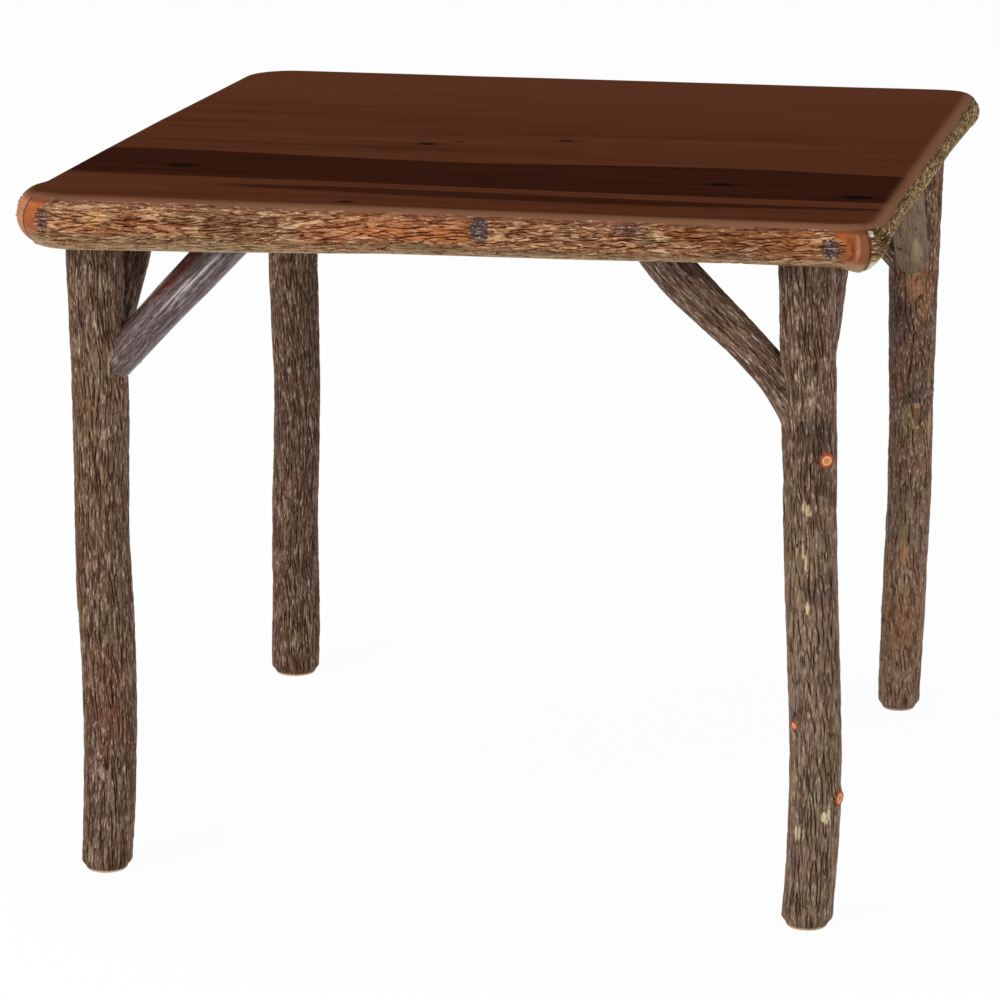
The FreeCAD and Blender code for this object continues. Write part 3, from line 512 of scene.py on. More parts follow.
class Skin:
    """Places on a log's skin, across the grain and along it. A whole log closes at its girth."""

    def __init__(self, across, along, girth, seed):
        self.across = across
        self.along = along
        self.girth = girth
        self.random = np.random.default_rng(seed)

    def cells(self, width, length):
        """Places counted in cells, and how many columns and rows of cells there are."""
        if self.girth:
            columns = max(3, round(self.girth / width))
            across = self.across / self.girth * columns
        else:
            columns = int(np.ptp(self.across) / width) + 6
            across = (self.across - self.across.min()) / width + 2
        along = (self.along - self.along.min()) / length + 2
        return across, along, columns, int(along.max()) + 4

    def noise(self, width, length, slant=0.0, sway=0.0):
        """Smooth noise from about -1 to 1: sloping planes and levels, blended between cell corners."""
        across, along, columns, rows = self.cells(width, length)
        across = across + slant * along
        if sway:
            across = across + sway * self.noise(3.1 * width, 0.8 * length)
            along = along + 0.5 * sway * self.noise(2.3 * width, 1.4 * length)
        turns = self.random.uniform(0, 2 * math.pi, (columns, rows))
        levels = self.random.uniform(-0.35, 0.35, (columns, rows))
        left, low = np.floor(across).astype(int), np.floor(along).astype(int)
        share_a, share_b = across - left, along - low
        total = 0.0
        for step_a in (0, 1):
            for step_b in (0, 1):
                i, j = (left + step_a) % columns, (low + step_b) % rows
                slope = np.cos(turns[i, j]) * (share_a - step_a) + np.sin(turns[i, j]) * (share_b - step_b)
                weight = smooth_step(1, 0, abs(share_a - step_a)) * smooth_step(1, 0, abs(share_b - step_b))
                total = total + weight * (1.5 * slope + levels[i, j])
        return total

    def furrows(self, values, half_width, power=1.5):
        """0 on the lines where the values change sign, 1 away from them. Lines across the log fade out."""
        if self.girth:
            change = np.roll(values, -1, 1) - np.roll(values, 1, 1)
            step = 2 * self.girth / values.shape[1]
        else:
            change, step = np.gradient(values, axis=1), np.gradient(self.across, axis=1)
        rise = abs(change / step)
        gap = abs(values) / (rise + LEAST_RISE)
        near = np.exp(-((gap / half_width) ** power))
        return 1 - smooth_step(0.5 * LEAST_RISE, 2.2 * LEAST_RISE, rise) * near

    def gaps(self, points, place):
        """How far each point lies from a place, across the log and along it."""
        nearest = np.unravel_index(((points - place) ** 2).sum(-1).argmin(), self.across.shape)
        across = self.across - self.across[nearest]
        if self.girth:
            across = (across + self.girth / 2) % self.girth - self.girth / 2
        return across, self.along - self.along[nearest]


def bark_relief(skin, style):
    """How far the bark stands in from its highest ridges, with the furrow and tone marks.

    Furrows follow the lines where stretched noises change sign. Two noises that slant opposite ways
    cut the bark into long diamonds, and finer ones split these into narrow ridges.
    """
    width, length = style["width"] * MM, style["length"] * MM
    slant, sway = style["slant"], style["sway"]
    first = skin.noise(width, length, slant, sway) + sway * skin.noise(0.5 * width, 0.4 * length, slant)
    second = skin.noise(1.15 * width, 1.1 * length, -slant, sway)
    second = second + sway * skin.noise(0.5 * width, 0.4 * length)
    fine = skin.noise(0.42 * width, 0.34 * length, 0.4 * slant, 0.3)
    ripple = skin.noise(1.6 * MM, 6 * MM)
    narrow = style["furrow"] * MM * (1 + 0.35 * skin.noise(3 * width, 0.8 * length))
    closed = smooth_step(-0.15, 0.45, skin.noise(1.7 * width, 0.7 * length)) * style["closed"]
    other_closed = smooth_step(-0.25, 0.35, skin.noise(1.9 * width, 0.6 * length)) * style["closed"]
    groove = skin.furrows(first, narrow)
    other = skin.furrows(second, 0.9 * narrow)
    hair = skin.furrows(fine, 0.6 * narrow, 1.3)
    groove = groove + (1 - groove) * closed
    other = other + (1 - other) * np.maximum(other_closed, style["one_way"])
    steps = np.tanh(first / 0.12) + 0.8 * np.tanh(second / 0.12)
    crown = np.minimum(abs(first), 0.6) + np.minimum(abs(second), 0.6)
    level = groove * other * (0.62 + 0.18 * hair) + style["flake"] * steps
    level = level + style["crown"] * crown + 0.07 * ripple
    swell = 0.6 * skin.noise(45 * MM, 80 * MM) + 0.4 * skin.noise(20 * MM, 34 * MM)
    relief = style["depth"] * MM * (level - 1.0) + style["swell"] * MM * swell
    shown_furrow = groove * other * (0.6 + 0.4 * hair)
    tone = 0.5 + style["flake"] * steps + 0.22 * fine + 0.16 * ripple
    return np.minimum(relief, style["proud"] * MM), np.clip(shown_furrow, 0, 1), np.clip(tone, 0, 1)


# Kinds of bark. Lengths are in millimetres.

LEG_BARK = dict(
    width=5, length=34, slant=0.5, furrow=0.7, closed=0.55, one_way=0.4, sway=0.2, depth=2.2, flake=0.05,
    crown=0.3, swell=0.9, proud=0.5,
)
BACK_LEG_BARK = LEG_BARK | dict(
    width=6, length=26, slant=0.4, furrow=0.6, closed=0.95, one_way=0.7, swell=1.2,
)
BRACE_BARK = dict(
    width=5, length=50, slant=0.5, furrow=0.7, closed=0.45, one_way=0.5, sway=0.2, depth=1.6, flake=0.04,
    crown=0.3, swell=0.8, proud=0.5,
)
SMOOTH_BARK = dict(
    width=3.6, length=80, slant=0.15, furrow=0.5, closed=0.85, one_way=0.9, sway=0.1, depth=0.7,
    flake=0.03, crown=0.2, swell=0.8, proud=0.4,
)
RAIL_BARK = dict(
    width=3.9, length=24, slant=0.7, furrow=0.6, closed=0.6, one_way=0.3, sway=0.2, depth=2.4, flake=0.12,
    crown=0.5, swell=0.7, proud=0,
)
OLIVE_RAIL_BARK = RAIL_BARK | dict(
    width=4.4, length=22, slant=0.95, depth=1.8, crown=0.25,
)

GLINT_COLOUR = (196, 184, 182)
GLINT_SHARE = 0.6
CRISP_SHARE = 0.9
PIT_RISE = -1
CRISP_FRINGE = 6

# Spots on the logs: place on the table, half width across the log, half length along it, colour as
# the screen shows it, share of the colour, and how far the bark swells there, where it does.
# Millimetres. A share over 0.9 also fills the furrows, as where the bark has flaked off, and gives a
# crisp edge. A knot, pitted more than 1 mm deep, gets pale glints of varnish.

OLIVE, CREAM, PURPLE, DARK_GREY = (108, 98, 58), (206, 186, 148), (76, 62, 62), (70, 60, 54)
RED_BROWN = (112, 62, 44)
SPOTS = {
    "front_left_leg": (
        ((-406, -400, 296), 10, 22, OLIVE, 0.6), ((-386, -409, 115), 4, 7, (168, 148, 126), 0.7),
        ((-418, -385, 620), 12, 80, RED_BROWN, 0.5), ((-395, -400, 520), 14, 40, (116, 92, 62), 0.5),
        ((-400, -400, 400), 60, 60, (104, 76, 54), 0.4), ((-380, -400, 200), 22, 60, RED_BROWN, 0.35),
    ),
    "front_right_leg": (
        ((390, -405, 200), 300, 240, (142, 120, 100), 0.45),
        ((393, -403, 532), 20, 22, DARK_GREY, 0.7, 0.6), ((401, -398, 480), 14, 20, (84, 74, 60), 0.5),
        ((400, -400, 372), 22, 16, DARK_GREY, 0.55, 1.4), ((384, -406, 455), 2.8, 6.5, CREAM, 0.97),
        ((378, -405, 458), 1.0, 6, CREAM, 0.97), ((371, -405, 414), 1.6, 9, (176, 156, 124), 0.85),
        ((378, -405, 412), 1.8, 9, (196, 176, 142), 0.92),
        ((381, -405, 400), 1.8, 9, (196, 176, 142), 0.92), ((384, -406, 352), 1.8, 7, CREAM, 0.97),
        ((395, -404, 142), 2.4, 12, (150, 144, 112), 0.8),
        ((405, -408, 127), 3, 5.5, (204, 194, 158), 0.97),
        ((410, -406, 128), 1.6, 6, (190, 178, 140), 0.92),
        ((408, -407, 121), 2.0, 3, (196, 184, 148), 0.92),
        ((376, -411, 106), 1.2, 9, (204, 190, 146), 0.95),
        ((381, -411, 107), 1.1, 8, (204, 190, 146), 0.95),
        ((386, -411, 106), 0.9, 6, (190, 176, 134), 0.92), ((403, -414, 62), 11, 8, DARK_GREY, 0.5, 1.2),
        ((380, -404, 216), 2.4, 8, (160, 146, 138), 0.9), ((372, -404, 232), 14, 16, PURPLE, 0.45, 0.8),
        ((366, -400, 400), 14, 70, (126, 106, 76), 0.45), ((412, -398, 300), 14, 60, (88, 76, 54), 0.4),
        ((408, -400, 190), 12, 30, (92, 86, 54), 0.45),
    ),
    "back_right_leg": (
        ((390, 349, 120), 300, 200, (150, 122, 98), 0.4), ((398, 349, 640), 300, 90, (88, 64, 42), 0.4),
        ((390, 349, 250), 22, 40, (104, 86, 78), 0.5), ((392, 349, 160), 10, 26, (150, 136, 104), 0.5),
        ((398, 349, 540), 10, 16, (176, 126, 86), 0.75, 0.5),
        ((412, 355, 520), 8, 40, (150, 96, 60), 0.5), ((376, 355, 508), 14, 26, PURPLE, 0.75, 0.8),
        ((397, 349, 407), 12, 14, DARK_GREY, 0.7, 1.4), ((397, 348, 404), 2, 4, (26, 16, 12), 0.97),
        ((393, 349, 365), 6, 22, (132, 122, 78), 0.6),
        ((420, 364, 364), 4, 16, (170, 150, 112), 0.6, 0.6),
        ((395, 343, 120), 22, 40, (136, 92, 62), 0.55, 0.5),
        ((385, 352, 430), 10, 34, (140, 96, 72), 0.5), ((380, 349, 600), 12, 50, (128, 84, 62), 0.5),
        ((400, 349, 470), 40, 60, (96, 74, 66), 0.4), ((388, 349, 310), 12, 60, (112, 78, 66), 0.4),
        ((394, 349, 205), 6, 14, (190, 134, 92), 0.6, 0.3), ((392, 349, 236), 9, 26, (128, 112, 70), 0.5),
    ),
    "back_left_leg": (
        ((-382, 347, 480), 40, 300, (92, 70, 58), 0.3),
    ),
    "front_brace_left": (
        ((-285, -398, 684), 8, 70, (96, 40, 30), 0.75), ((-330, -400, 625), 12, 26, (98, 88, 84), 0.5),
        # Painted highlight: thin pale streaks along the brace's upper side, in place of its varnish's glare
        ((-268, -402, 668), 1.8, 42, (206, 194, 198), 0.85),
        ((-290, -402, 652), 1.2, 30, (190, 178, 182), 0.8),
        ((-262, -403, 662), 1.0, 34, (176, 162, 166), 0.8),
        ((-300, -402, 640), 1.0, 26, (170, 156, 158), 0.7),
    ),
    "front_brace_right": (
        ((290, -400, 650), 22, 60, (116, 90, 70), 0.35),
    ),
    "right_brace_back": (
        ((405, 320, 586), 6, 22, (146, 136, 94), 0.75), ((397, 318, 606), 3, 14, (160, 144, 116), 0.6),
        ((381, 316, 588), 5.0, 2.4, (32, 22, 18), 0.97, -0.6),
    ),
    "front_rail": (
        ((-356, -464, 742), 9, 9, (206, 158, 92), 0.6, 0.5),
        ((-414, -466, 738), 13, 6, (66, 48, 50), 0.9, -1.4),
        ((-200, -465, 740), 14, 40, (112, 88, 62), 0.6), ((-235, -460, 752), 5, 22, (108, 84, 58), 0.6),
        ((-300, -462, 718), 8, 150, (132, 112, 80), 0.7),
        ((-148, -465, 735), 18, 5, (148, 122, 92), 0.5, 1.0),
        ((-25, -463, 746), 13, 82, (164, 100, 56), 0.55), ((-20, -463, 738), 7, 70, (174, 102, 54), 0.65),
        ((0, -463, 722), 4, 50, (98, 88, 66), 0.6), ((53, -464, 746), 15, 10, (66, 50, 50), 0.91, -1.6),
        ((100, -463, 722), 4, 40, (86, 74, 58), 0.7), ((92, -465, 752), 8, 26, (142, 104, 70), 0.5),
        ((140, -465, 742), 13, 30, (126, 96, 66), 0.5),
        ((225, -465, 744), 20, 8, (98, 82, 54), 0.65, -0.7),
        ((205, -462, 752), 8, 14, (82, 60, 56), 0.8, -1.2),
        ((300, -465, 752), 9, 60, (134, 78, 42), 0.65), ((330, -465, 738), 12, 60, (120, 80, 48), 0.6),
        ((306, -462, 727), 5, 26, (84, 70, 60), 0.7), ((372, -465, 745), 14, 24, (150, 92, 46), 0.6),
        ((30, -460, 722), 7, 160, (126, 102, 68), 0.6), ((445, -456, 742), 60, 14, (120, 74, 48), 0.85),
        # Painted highlight: two pale lines beside the peeled end at the front-right corner
        ((437, -458, 744), 12, 2.4, (184, 124, 90), 0.5), ((436, -458, 734), 8, 2.4, (176, 118, 86), 0.5),
        ((422, -464, 746), 9, 9, (158, 88, 44), 0.7), ((420, -464, 734), 8, 9, (128, 76, 46), 0.6),
        # Painted shade: four short dark lines in an arc along the peeled end at the front-right corner
        ((428, -463, 750), 4, 2.6, (108, 56, 34), 0.6), ((431, -462, 744), 6, 2.2, (104, 52, 32), 0.75),
        ((432, -461, 736), 6, 2.2, (104, 52, 32), 0.75), ((430, -462, 729), 5, 2.2, (104, 52, 32), 0.7),
        ((411, -466, 739), 11, 9.5, (62, 47, 41), 0.92, -1.6),
        ((250, -460, 722), 6, 120, (104, 82, 54), 0.6),
    ),
    "right_rail": (
        ((460, -436, 738), 40, 12, (74, 48, 32), 0.6), ((449, -447, 756), 5, 4, (226, 208, 186), 0.97),
    ),
}

# Each rail's colour near its bottom, its share, and from what share of the height down it starts
RAIL_UNDERSIDES = {
    "front": ((168, 144, 108), 0.6, 0.79), "right": ((232, 224, 192), 0.85, 0.72),
    "back": ((130, 116, 84), 0.5, 0.80), "left": ((140, 118, 84), 0.5, 0.80),
}
STUBS = {"front_right_leg": ((508, -46.5, 8.5), (223, -129.0, 5.1), (144, -21.0, 8.1))}
STUB_STAND = 2.5 * MM
COLLAR_RISE = 1.6 * MM


def paint_spots(name, skin, points, relief, furrow):
    """The colours of a log's spots, their share, and the relief and furrows that they change."""
    spots = {"paint": np.zeros(points.shape), "painted": np.zeros(relief.shape)}
    ragged = 0.22 * skin.noise(4 * MM, 14 * MM) + 0.22 * skin.noise(2 * MM, 6 * MM)
    lumps = 1 + 0.9 * skin.noise(4 * MM, 4 * MM)
    for place, half_across, half_along, colour, amount, *rise in SPOTS.get(name, ()):
        rise = rise[0] if rise else 0
        across, along = skin.gaps(points, np.array(place) * MM)
        reach = np.hypot(across / (half_across * MM), along / (half_along * MM))
        crisp = amount > CRISP_SHARE
        soft = 0.12 if crisp else 0.45
        fringe = min(1, CRISP_FRINGE / half_along) if crisp else 1
        weight = amount * smooth_step(1 + soft * fringe, 1 - soft * fringe, reach + ragged * fringe)
        lay_over(spots, colour, weight)
        relief = relief + rise * MM * smooth_step(1.3, 0.3, reach) * lumps
        if crisp:
            furrow = np.maximum(furrow, weight)
        if rise < PIT_RISE:
            glints = smooth_step(0.25, 0.6, skin.noise(2 * MM, 2.6 * MM))
            lay_over(spots, GLINT_COLOUR, GLINT_SHARE * weight * glints)
    return spots, relief, furrow


def lay_over(spots, colour, share):
    """Add one more colour over a log's spots."""
    weight = share[..., None]
    spots["paint"] = spots["paint"] * (1 - weight) + weight * np.array(shade(*colour)[:3])
    spots["painted"] = spots["painted"] + (1 - spots["painted"]) * share


def add_stubs(name, skin, log, angle, relief):
    """Sawn branch stubs, each with a collar of bark, and the mark of their rings."""
    cut = np.zeros(relief.shape)
    for height, bearing, radius in STUBS.get(name, ()):
        turn = np.angle(np.exp(1j * (angle - math.radians(bearing))))
        log_radius = float(log.radius(height * MM))
        across, along = turn * log_radius, skin.along - height * MM
        reach = np.hypot(across, along) / (radius * MM) + 0.14 * skin.noise(7 * MM, 7 * MM)
        near = abs(turn) < 1
        collar = COLLAR_RISE * smooth_step(2.1, 1.1, reach) * near
        face = (log_radius + STUB_STAND) / np.cos(np.clip(turn, -1, 1)) - log_radius
        inside = smooth_step(1.1, 0.96, reach) * near
        relief = (relief + collar) * (1 - inside) + face * inside
        cut = np.maximum(cut, np.clip(1 - reach, 0, 1) * near)
    return relief, cut


# Meshes made of a grid of points


def grid_faces(rows, columns):
    """Four-sided faces of a grid that closes from its last column to its first."""
    row, column = np.arange(rows - 1)[:, None], np.arange(columns)[None, :]
    after = (column + 1) % columns
    here, beside = row * columns + column, row * columns + after
    corners = (here, beside, beside + columns, here + columns)
    return np.stack(np.broadcast_arrays(*corners), -1).reshape(-1, 4)


SHARP_ANGLE = math.radians(55)


def make_piece(name, points, marks, material, nodes, second=None):
    """The piece that stands for the nodes: a closed tube of rows of points, with a fan at each end.

    A second material goes on the faces that are marked as stained.
    """
    rows, columns = points.shape[:2]
    ends = [points[0].mean(0), points[-1].mean(0)]
    vertices = np.concatenate([points.reshape(-1, 3), ends])
    faces = grid_faces(rows, columns).tolist()
    low_middle, high_middle = rows * columns, rows * columns + 1
    last = (rows - 1) * columns
    for column in range(columns):
        after = (column + 1) % columns
        faces.append((low_middle, after, column))
        faces.append((high_middle, last + column, last + after))
    mesh = bpy.data.meshes.new(name)
    mesh.from_pydata(vertices.tolist(), [], faces)
    for key, values in marks.items():
        flat = values.reshape(rows * columns, -1)
        flat = np.concatenate([flat, [flat[:columns].mean(0), flat[-columns:].mean(0)]]).astype(np.float32)
        kind, field = ("FLOAT_VECTOR", "vector") if flat.shape[1] == 3 else ("FLOAT", "value")
        mesh.attributes.new(key, kind, "POINT").data.foreach_set(field, flat.ravel())
    mesh.shade_smooth()
    mesh.set_sharp_from_angle(angle=SHARP_ANGLE)
    mesh.materials.append(material)
    if second:
        mesh.materials.append(second)
        stained_points = np.append(marks["stain"].ravel() > 0.5, (False, False))
        kinds = [int(stained_points[face].all()) for face in map(list, faces)]
        mesh.polygons.foreach_set("material_index", kinds)
    piece = bpy.data.objects.new(name, mesh)
    show(piece)
    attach(piece, "root")
    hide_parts(*nodes)


def tree_of(node):
    """A search tree over a CAD node's mesh."""
    mesh = NODES[node].data
    return BVHTree.FromPolygons([v.co for v in mesh.vertices], [p.vertices for p in mesh.polygons])


# Logs measured from the frame

RAYS = 40
OUTSIDE = 0.09
FIT_LIMITS = (3 * MM, 1 * MM, 0.6 * MM)


def fit_section(tree, place, side_a, side_b):
    """Centre offsets and radius of a log's section. Rays that meet a knot or a hole are left out."""
    hits = []
    for number in range(RAYS):
        angle = 2 * math.pi * number / RAYS
        way = side_a * math.cos(angle) + side_b * math.sin(angle)
        hit = tree.ray_cast(place + way * OUTSIDE, -way, OUTSIDE)[0]
        if hit is not None:
            hits.append(((hit - place).dot(side_a), (hit - place).dot(side_b)))
    points = np.array(hits)
    for limit in FIT_LIMITS:
        sums = np.c_[2 * points, np.ones(len(points))]
        middle_a, middle_b, rest = np.linalg.lstsq(sums, (points**2).sum(1), rcond=None)[0]
        radius = math.sqrt(rest + middle_a**2 + middle_b**2)
        off = abs(np.hypot(points[:, 0] - middle_a, points[:, 1] - middle_b) - radius)
        if (off < limit).sum() > RAYS / 3:
            points = points[off < limit]
    return middle_a, middle_b, radius


class Log:
    """A bowed log with its centre line and radius, at places along a straight guide line."""

    def __init__(self, node, start, way, side, places, degree):
        tree = tree_of(node)
        self.start, self.way, self.side = start, way, side
        self.other = way.cross(side)
        rows = []
        drift = (0.0, 0.0)
        for place in places:
            guess = start + way * place + side * drift[0] + self.other * drift[1]
            off_a, off_b, radius = fit_section(tree, guess, side, self.other)
            drift = (drift[0] + off_a, drift[1] + off_b)
            rows.append((*drift, radius))
        self.fits = [np.polynomial.Polynomial.fit(places, column, degree) for column in np.array(rows).T]

    def points(self, along, angle, lift):
        """Points on the log's skin, lifted by some distance."""
        off_a, off_b, radius = (fit(along) for fit in self.fits)
        out = radius + lift
        side_a, side_b = off_a + out * np.cos(angle), off_b + out * np.sin(angle)
        start, way, side, other = (np.array(v) for v in (self.start, self.way, self.side, self.other))
        return start + along[..., None] * way + side_a[..., None] * side + side_b[..., None] * other

    def radius(self, along):
        return self.fits[2](along)

    def place_marks(self, along, angle):
        """The log's own coordinates, as if it were straight."""
        radius = self.radius(along)
        return np.stack([radius * np.cos(angle), radius * np.sin(angle), along], -1)


CAP_SHARES = (0.94, 0.8, 0.6, 0.4, 0.2)


def with_caps(log, along, angle, lift, low_cap, high_cap):
    """Rows of rings that close a log's ends, shrinking towards the middle, and their marks."""
    rows_along, rows_lift, is_cap = [along], [lift], [np.zeros(len(along))]
    for cap, at in ((low_cap, 0), (high_cap, -1)):
        radius = log.radius(along[at]) + lift[at]
        shares = CAP_SHARES[::-1] if at == 0 else CAP_SHARES
        rings = [radius * share - log.radius(along[at]) for share in shares]
        where = 0 if at == 0 else len(rows_along)
        rows_along.insert(where, np.array([cap(ring) for ring in rings]))
        rows_lift.insert(where, np.array(rings))
        is_cap.insert(where, np.ones(len(rings)))
    along, lift = np.concatenate(rows_along), np.concatenate(rows_lift)
    return along, np.broadcast_to(angle[0], along.shape), lift, np.concatenate(is_cap)


CAP_MARKS = {"furrow": 1, "tone": 0.5, "bare": 1, "cut": 0, "paint": 0, "painted": 0}


def finish_log(name, log, rings, marks, material):
    """The piece that stands for a log's node. The end caps get one value of each mark."""
    along, angle, lift, is_cap = rings
    full_marks = {"log_place": log.place_marks(along, angle)}
    for key, values in marks.items():
        full_marks[key] = np.full((len(is_cap), *values.shape[1:]), float(CAP_MARKS[key]))
        full_marks[key][is_cap == 0] = values
    make_piece(f"{name}_log", log.points(along, angle, lift), full_marks, material, (name,))


# Legs

LEG_COLUMNS = 200
LEG_ROWS = 480
LEG_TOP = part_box("front_left_block")[0].z
LEG_FIRST_PLACE = 10 * MM
LEG_TOP_GAP = 4 * MM
LEG_STEP = 12 * MM
LEG_DEGREE = 9
LEG_SEEDS = {"front_left": 11, "front_right": 12, "back_right": 13, "back_left": 14}
FOOT_CURL_TOP = 10 * MM
FOOT_CURL_LOW = 2.2 * MM
FOOT_CURL = 4.6 * MM
FOOT_INSET = 6 * MM


def measure_leg(corner):
    low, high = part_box(f"{corner}_leg")
    middle = (low + high) / 2
    start = Vector((middle.x, middle.y, 0))
    places = np.arange(LEG_FIRST_PLACE, LEG_TOP - LEG_TOP_GAP, LEG_STEP)
    return Log(f"{corner}_leg", start, UP, Vector((1, 0, 0)), places, LEG_DEGREE)


def make_leg(corner, log, material):
    angle = np.linspace(0, 2 * math.pi, LEG_COLUMNS, endpoint=False)[None, :]
    along = np.broadcast_to(np.linspace(0, LEG_TOP, LEG_ROWS)[:, None], (LEG_ROWS, LEG_COLUMNS))
    angle = np.broadcast_to(angle, along.shape)
    girth = 2 * math.pi * float(log.radius(LEG_TOP / 2))
    skin = Skin(angle / (2 * math.pi) * girth, along, girth, LEG_SEEDS[corner])
    name = f"{corner}_leg"
    relief, furrow, tone = bark_relief(skin, BACK_LEG_BARK if corner == "back_right" else LEG_BARK)
    spots, relief, furrow = paint_spots(name, skin, log.points(along, angle, 0 * along), relief, furrow)
    relief, cut = add_stubs(name, skin, log, angle, relief)
    curl = smooth_step(FOOT_CURL_TOP, FOOT_CURL_LOW, along)
    ragged = FOOT_CURL_LOW * (1 + 0.35 * skin.noise(7 * MM, 7 * MM))
    bare = (along < ragged).astype(float)
    chamfer = FOOT_INSET + (FOOT_CURL - FOOT_INSET) * along / FOOT_CURL_LOW
    lift = np.where(bare > 0, -np.maximum(chamfer, FOOT_CURL), relief * (1 - 0.5 * curl) - FOOT_CURL * curl)
    level = np.zeros(LEG_COLUMNS)
    rings = with_caps(log, along, angle, lift, lambda ring: level, lambda ring: level + LEG_TOP)
    marks = {"furrow": furrow, "tone": tone, "bare": bare, "cut": cut, **spots}
    finish_log(name, log, rings, marks, material)


# Braces

BRACE_COLUMNS = 122
BRACE_ROWS = 230
BRACE_SINK = 3.4 * MM
BRACE_PLACES = np.arange(0.072, 0.228, 6 * MM)
BRACE_MIDDLE = 0.15
BRACE_DEGREE = 3
BRACES = {
    "front_brace_left": ("front_left", (1, 0), 21), "front_brace_right": ("front_right", (-1, 0), 22),
    "left_brace_front": ("front_left", (0, 1), 23), "right_brace_front": ("front_right", (0, 1), 24),
    "back_brace_left": ("back_left", (1, 0), 25), "back_brace_right": ("back_right", (-1, 0), 26),
    "left_brace_back": ("back_left", (0, -1), 27), "right_brace_back": ("back_right", (0, -1), 28),
}
BRACE_SEARCH = np.linspace(0, 0.30, 241)


def crossing(log, angle, lift, inside):
    """The first place along each column where the inside test turns false to true, walking outwards."""
    along = np.broadcast_to(BRACE_SEARCH[:, None], (len(BRACE_SEARCH), len(angle)))
    points = log.points(along, np.broadcast_to(angle, along.shape), np.broadcast_to(lift, along.shape))
    value = inside(points)
    passed = value > 0
    index = np.maximum(1, passed.argmax(0))
    columns = np.arange(len(angle))
    before, after = value[index - 1, columns], value[index, columns]
    share = np.clip(before / (before - after), 0, 1)
    return BRACE_SEARCH[index - 1] + share * (BRACE_SEARCH[1] - BRACE_SEARCH[0])


def make_brace(name, legs, material):
    corner, (way_x, way_y), seed = BRACES[name]
    leg = legs[corner]
    foot_z = BOARD_BOTTOM - BRACE_DROP
    foot = Vector(leg.points(np.array(foot_z), 0, -leg.radius(foot_z)))
    way = Vector((way_x * BRACE_REACH, way_y * BRACE_REACH, BRACE_DROP)).normalized()
    side = Vector((-way_y, way_x, 0))
    log = Log(name, foot, way, side, BRACE_PLACES, BRACE_DEGREE)
    angle = np.linspace(0, 2 * math.pi, BRACE_COLUMNS, endpoint=False)

    def outside_leg(points):
        height = points[..., 2]
        off_a, off_b, radius = (fit(height) for fit in leg.fits)
        reach = np.hypot(points[..., 0] - leg.start.x - off_a, points[..., 1] - leg.start.y - off_b)
        return reach - (radius - BRACE_SINK)

    def above_boards(points):
        return points[..., 2] - BOARD_BOTTOM

    flat = np.zeros(BRACE_COLUMNS)
    start, end = crossing(log, angle, flat, outside_leg), crossing(log, angle, flat, above_boards)
    share = np.linspace(0, 1, BRACE_ROWS)[:, None]
    along = start + share * (end - start)
    angles = np.broadcast_to(angle, along.shape)
    girth = 2 * math.pi * float(log.radius(BRACE_MIDDLE))
    skin = Skin(angles / (2 * math.pi) * girth, along, girth, seed)
    style = SMOOTH_BARK if name in SMOOTH_BRACES else BRACE_BARK
    relief, furrow, tone = bark_relief(skin, style)
    spots, relief, furrow = paint_spots(name, skin, log.points(along, angles, 0 * along), relief, furrow)
    rings = with_caps(
        log, along, angles, relief,
        lambda ring: crossing(log, angle, ring, outside_leg),
        lambda ring: crossing(log, angle, ring, above_boards),
    )
    marks = {"furrow": furrow, "tone": tone, "bare": np.zeros(furrow.shape), **spots}
    finish_log(name, log, rings, marks, material)


# Rails: half logs whose ends turn round the table's corners to a mitre

RAIL_STATIONS = 960
RAIL_OUTER = 84
RAIL_BOTTOM = 5
RAIL_BACK = 3
RAIL_FLAT = 7
RAIL_AXIS = 16 * MM
COLUMN_STEP = 3 * MM
FALL_EASE = 30 * MM
ROUND_SHARE = 0.52722
MITRE_GAP = 0.35 * MM
PEEL = 1.7 * MM
CORNER_BLEND = 55 * MM
# Painted highlight along the rails' rounded top edges: the depths in from the crest where it starts, for
# the front rail and for the others, and where it is full
EDGE_HIGHLIGHT_INNER = 27 * MM
EDGE_HIGHLIGHT_INNER_SIDES = 22 * MM
EDGE_HIGHLIGHT_OUTER = 8 * MM
MITRE_GROOVE = 1.1 * MM
# Painted shadow in the mitre joints, laid along each rail's ends
MITRE_SHADOW_COLOUR = (84, 44, 30)
PEEL_LEAN = 14 * MM
# Painted shadow: a dark band just below the stained rounding of the rails' tops
STAIN_EDGE_SHADOW_COLOUR = (74, 38, 28)
BLOCK_COVER = 1.5 * MM

# Where the rails' nodes are measured
RAIL_END = 60 * MM
RAIL_PLACES = 90
RAIL_INSIDE = 28 * MM
RAIL_OUTSIDE = 50 * MM
UNDER_RAILS = 0.5

# Outward way, way along, corner at the start and at the end, seed, and how far the wood is
# bare from the start and from the end, where a length below 0 leaves it covered
RAILS = {
    "front": ((0, -1), (1, 0), "front_left", "front_right", 31, 22 * MM, 27 * MM),
    "right": ((1, 0), (0, 1), "front_right", "back_right", 32, 1 * MM, -10 * MM),
    "back": ((0, 1), (-1, 0), "back_right", "back_left", 33, -10 * MM, -10 * MM),
    "left": ((-1, 0), (0, -1), "back_left", "front_left", 34, -10 * MM, 40 * MM),
}


